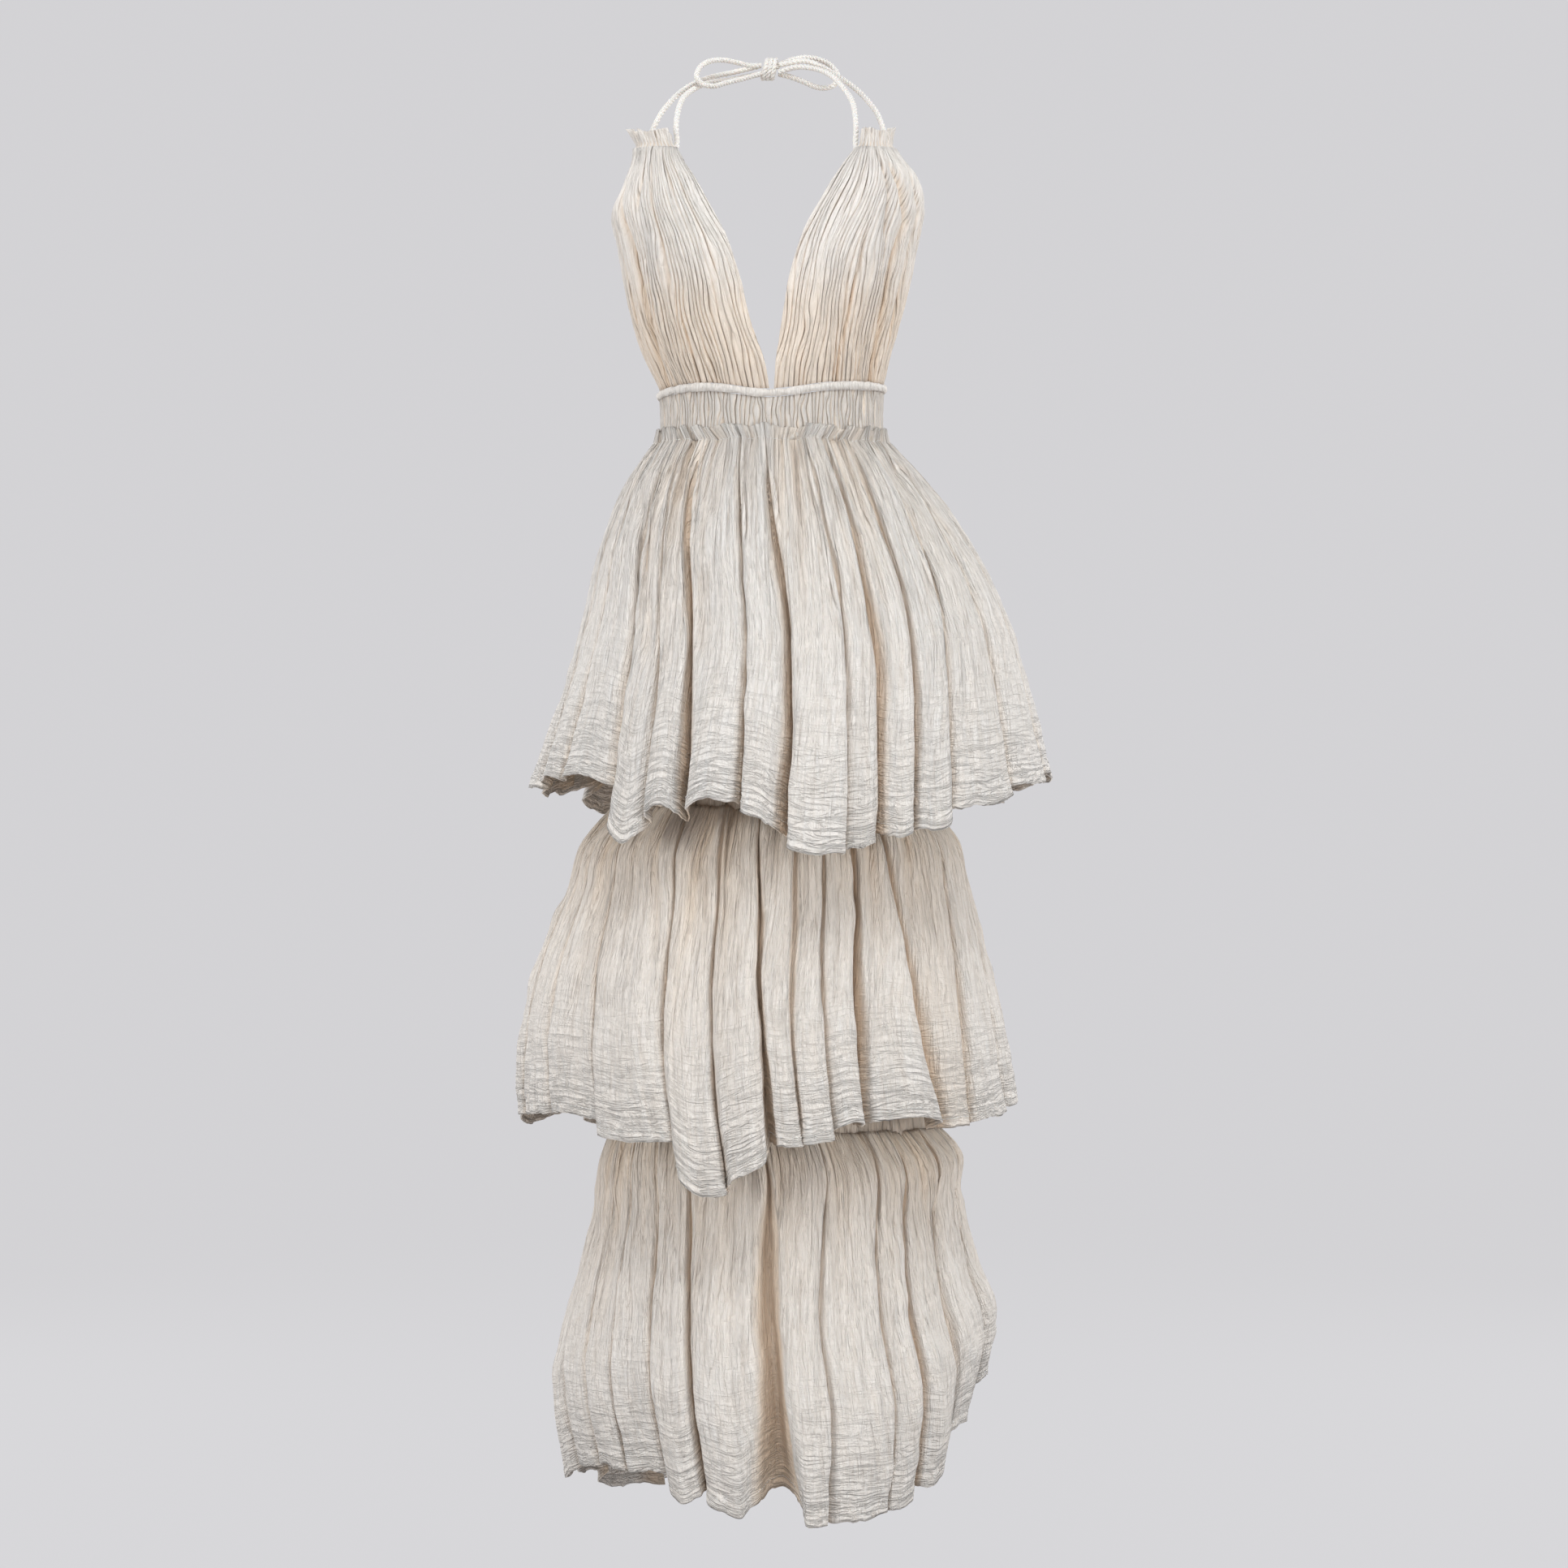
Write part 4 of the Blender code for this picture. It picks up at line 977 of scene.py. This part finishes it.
def closed_weights(count, places, bend):
    """The weights that a smooth closed curve through count points gives them at places along it."""
    left = np.floor(places).astype(int)
    s = places - left
    weights = np.zeros((len(places), count))
    pick = np.arange(len(places))
    rise, fall = s**3 - 2 * s**2 + s, s**3 - s**2
    for shift, share in (
        (-1, -bend * rise),
        (0, 2 * s**3 - 3 * s**2 + 1 - bend * fall),
        (1, 3 * s**2 - 2 * s**3 + bend * rise),
        (2, bend * fall),
    ):
        np.add.at(weights, (pick, (left + shift) % count), share)
    return weights


def soft_creases(grid, normal, creases):
    """How far the listed troughs press the front of the cloth in. Each runs from x, z to x, z."""
    pressed = np.zeros(grid.shape[:2])
    for x_top, z_top, x_low, z_low, deep, wide in creases:
        share = (grid[..., 2] - z_top) / (z_low - z_top)
        middle = x_top + (x_low - x_top) * share
        fade = np.clip(share * 5 + 1, 0, 1) * np.clip((1 - share) * 4 + 1, 0, 1)
        pressed += deep * fade * np.exp(-(((grid[..., 0] - middle) / wide) ** 2))
    return pressed * (grid[..., 1] < BODY_Y) * np.clip(-normal[..., 1] * 1.5, 0, 1)


tier_gauze = gauze_cloth("cream_gauze_tier", 0.8, 0.95, 1.0, GATHER_PITCH * MM, 1.5)


def stitch_tree():
    """Short round stitches laid along a line."""
    tree, given = new_tree("stitch_row", Spacing="Float", Long="Float", Thread="Float", Finish="Material")
    line = result(tree, "GeometryNodeMeshToCurve", {"Mesh": given["Geometry"]})
    spaced = {"Curve": line, "Length": given["Spacing"]}
    points = node(tree, "GeometryNodeCurveToPoints", spaced, mode="LENGTH").outputs
    sizes = {"Vertices": 6, "Radius": given["Thread"], "Depth": given["Long"]}
    stitch = result(tree, "GeometryNodeMeshCylinder", sizes)
    laid = {"Points": points["Points"], "Instance": stitch, "Rotation": points["Rotation"]}
    close_tree(tree, result(tree, "GeometryNodeInstanceOnPoints", laid), given["Finish"])
    return tree


stitch_row = stitch_tree()


def stitches(name, lines):
    """Rows of stitches along lines of points in millimetres, as one piece."""
    values = {"Spacing": STITCH_SPACING * MM, "Long": STITCH_LONG * MM, "Thread": STITCH_THREAD * MM}
    values["Finish"] = cord_finish
    made = grown(name, stitch_row, lines, values)
    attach(made, "root")
    return made


def tier(name, node_name, form, folds, seed, creases=(), heading=None, under=0.0):
    """One gathered flounce. under is how warm the shade is at its top, under the flounce above."""
    count = 4 * len(folds)
    long = form[0].z - form[-1].z
    even = np.linspace(0, 1, TIER_ROWS)
    shares = even - 0.06 * np.sin(2 * math.pi * even)
    shapes = tier_points(form, folds, shares)
    start = int(np.argmax(shapes[TIER_ROWS // 2, :, 1]))
    rough = start + np.arange(0, count, 0.05)
    rows, whole = [], 0.0
    for shape in shapes:
        track = closed_weights(count, rough % count, CURVE_BEND) @ shape
        steps = np.linalg.norm(np.diff(track[:, :3], axis=0, append=track[:1, :3]), axis=1)
        reach = np.cumsum(steps) - steps
        whole = max(whole, steps.sum())
        places = np.interp(np.arange(TIER_COLUMNS) * steps.sum() / TIER_COLUMNS, reach, rough)
        rows.append(closed_weights(count, places % count, CURVE_BEND) @ shape)
    rows = np.array(rows)
    grid, inset, ridge = rows[..., :3].copy(), rows[..., 3], np.clip(rows[..., 4], 0, 1)
    across = (np.arange(TIER_COLUMNS) * whole / TIER_COLUMNS)[None, :]
    down = (shares * long)[:, None]
    up = long - down

    def waves(wide, tall, number):
        wrap = round(whole / wide)
        return ripples(across / whole * wrap, down / tall, seed + number, wrap)

    def furrows(wide, tall, number):
        return np.abs(waves(wide, tall, number)) ** 0.55 - 0.6

    chance = np.random.default_rng(seed)
    gathers = np.zeros(grid.shape[:2])
    for _ in range(TIER_GATHERS):
        middle = chance.uniform(0, whole) + 9 * np.sin(down / 60 + chance.uniform(0, 6))
        apart = (across - middle + whole / 2) % whole - whole / 2
        deep, wide, reach = chance.uniform(2.5, 6.5), chance.uniform(9, 20), chance.uniform(70, 260)
        furrow = deep * np.exp(-np.abs(apart / wide) ** 1.4) * np.exp(-((down / reach) ** 2))
        gathers = np.maximum(gathers, furrow)
    on_ridge = 0.25 + 0.75 * ridge
    opened = np.clip(down / 120, 0, 1)
    # Each size of crinkle is so many millimetres high, and so wide and long on the cloth.
    push = 1.8 * furrows(10, 300, 1) * (0.1 + np.exp(-down / 120)) - gathers * (0.4 + 0.6 * ridge)
    push += 4.2 * waves(30, 190, 3) * (0.2 + 0.8 * opened) * ridge
    push += 3.4 * furrows(16, 150, 4) * (0.35 + 0.65 * opened) * on_ridge
    push += 1.6 * furrows(7, 60, 5) * on_ridge
    push += 1.9 * waves(19, 23, 6) * on_ridge
    push += 1.9 * furrows(42, 6, 7) * (0.12 + np.exp(-up / 50)) * on_ridge
    push += 2.0 * waves(26, 400, 8) * np.exp(-up / 16)
    push -= SEAM_PINCH * ridge * np.exp(-down / 10)
    normal = normals_of(grid, True)
    pressed = soft_creases(grid, normal, creases)
    grid += normal * (push - pressed)[..., None]
    grid[..., 2] += (2.2 * waves(22, 60, 9) + 1.1 * waves(6, 60, 10)) * np.exp(-up / 18)
    # Painted warm shade: deep in the folds, in the pressed creases, between the gathers by the seam, and at
    # the top under the flounce above.
    recess_shade = np.clip(inset / 15, 0, 1) ** 0.9
    recess_shade = np.maximum(recess_shade, np.clip(pressed / 30, 0, 1))
    recess_shade = np.maximum(recess_shade, 0.12 * gathers * np.exp(-down / 160))
    recess_shade = np.clip(recess_shade + under * np.exp(-down / 110), 0, 1)
    near_hem = np.broadcast_to(np.exp(-up / 70), recess_shade.shape)
    drawn = np.broadcast_to(0.9 * np.exp(-down / 130) + 0.08, recess_shade.shape)
    fall = down
    if heading is not None:

        def headed(row, rows_below):
            return np.concatenate([np.repeat(row, HEADING_ROWS, axis=0), rows_below])

        lift = np.linspace(1, 0.2, HEADING_ROWS)[:, None]
        tuck = np.clip(0.7 * (push[:1] - push[:1].mean()) + 0.6 * waves(7, 30, 12)[:1], -1, 1)
        bearing = np.degrees(np.arctan2(grid[:1, :, 0] - BODY_X, BODY_Y - grid[:1, :, 1]))
        stand = HEADING_STAND + 0.5 * tuck
        x, y = oval(bearing, BODY_X, BODY_Y, WAIST_HALF_WIDTH + stand, WAIST_HALF_DEPTH + stand)
        crest = np.repeat(grid[:1], HEADING_ROWS, axis=0)
        crest[..., 0] += (x - crest[..., 0]) * lift * HEADING_HUG
        crest[..., 1] += (y - crest[..., 1]) * lift * HEADING_HUG
        crest[..., 2] += (heading - form[0].z + 1.4 * waves(13, 900, 13)[:1]) * lift
        grid = np.concatenate([crest, grid])
        # Painted shade between the heading's tucks.
        recess_shade = headed(0.45 * (0.5 - 0.5 * tuck), recess_shade)
        near_hem, drawn = headed(near_hem[:1], near_hem), headed(drawn[:1], drawn)
        fall = np.concatenate([-lift * 14, down])
    thickness = np.full((len(grid), 1), GAUZE)
    thickness[-2:] = HEM_ROLL
    around = np.append(across[0], whole)[None, :]
    flat = layered(around, fall)
    made = cloth_piece(name, grid, thickness, tier_gauze, True, flat, recess_shade, near_hem, drawn)
    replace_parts(made, node_name)
    outer = grid + normals_of(grid, True) * (GAUZE / 2 + 0.1)
    sewn_rows = [-4] if heading is None else [-4, HEADING_ROWS]
    lines = [np.concatenate([outer[row], outer[row, :1]]) for row in sewn_rows]
    thread = stitches(node_name + "_stitches", lines)


# Each crease's x and z at its top and at its foot, how deep it is and how wide.
TIER_1_CREASES = (
    (-73.5, -408, -84, -580, 6, 7),
    (-130.5, -477, -125, -614, 6, 7),
    (-92, -434, -101, -503, 5, 5),
    (-41, -417, -56, -473, 5, 5),
    (-24.7, -413, -25, -494, 5, 5),
    (2.2, -451, 7, -543, 6, 6),
    (-68.6, -545, -69, -614, 6, 6),
    (27.4, -414, 27, -522, 5, 5),
    (46, -419, 46, -466, 4, 5),
    (68, -466, 68, -560, 5, 6),
    (92.5, -503, 113, -560, 5, 6),
    (131.6, -429, 169, -560, 6, 7),
)
folds = [all_folds(TIER_1_FRONT, 13, 26, 40), all_folds(TIER_2_FRONT, 11, 28, 30)]
folds.append(all_folds(TIER_3_FRONT, 10, 28, 85))
tier("tier_1_flounce", "tier_1", TIER_1_FORM, folds[0], 100, TIER_1_CREASES, HEADING_TOP)
tier("tier_2_flounce", "tier_2", TIER_2_FORM, folds[1], 200, under=0.7)
tier("tier_3_flounce", "tier_3", TIER_3_FORM, folds[2], 300, under=0.65)

# The underskirt.
# A plain skirt of the same gauze hangs from the waistband under the flounces and carries the lower two.
# It shows only as a strip between the first tier's hem and the second's gathers.
UNDERSKIRT_FORM = (
    Form(WAISTBAND_FOOT - SEAM_GAP, BODY_X, WAIST_HALF_WIDTH, WAIST_HALF_DEPTH),
    Form(-514, 3, 134, 102),
    Form(-775, 4, 160, 126),
    Form(-1114, 6, 165, 131),
)
UNDERSKIRT_COLUMNS, UNDERSKIRT_ROWS = 180, 34
# On the flat cloth: millimetres to a degree, the last column's degrees, and the length.
UNDERSKIRT_SPREAD, UNDERSKIRT_LAST, UNDERSKIRT_LONG = 2.6, 1.5, 715

share = np.linspace(0, 1, UNDERSKIRT_ROWS)[:, None]
angle = (np.arange(UNDERSKIRT_COLUMNS) * 360 / UNDERSKIRT_COLUMNS + 180)[None, :]
heights = np.array([row.z for row in UNDERSKIRT_FORM], float)
level = heights[0] + (heights[-1] - heights[0]) * share
centre_x, half_width, half_depth = (
    np.interp(-level, -heights, [getattr(row, f) for row in UNDERSKIRT_FORM]) for f in Form._fields[1:]
)
wrinkle = 0.5 + CLOTH / 2 + 0.5 * ripples(angle / 4.5, share * 6, 71, 80)
x, y = oval(angle, centre_x, BODY_Y, half_width - wrinkle, half_depth - wrinkle)
around = np.append(angle[0], angle[0, -1] + UNDERSKIRT_LAST)[None, :] * UNDERSKIRT_SPREAD
flat = layered(around, share * UNDERSKIRT_LONG)
grid = layered(x, y, level)
# The underskirt has painted warm shade all over, where it hangs under the flounces.
underskirt = cloth_piece("underskirt_plain", grid, GAUZE, tier_gauze, True, flat, 0.7)
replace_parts(underskirt, "underskirt")
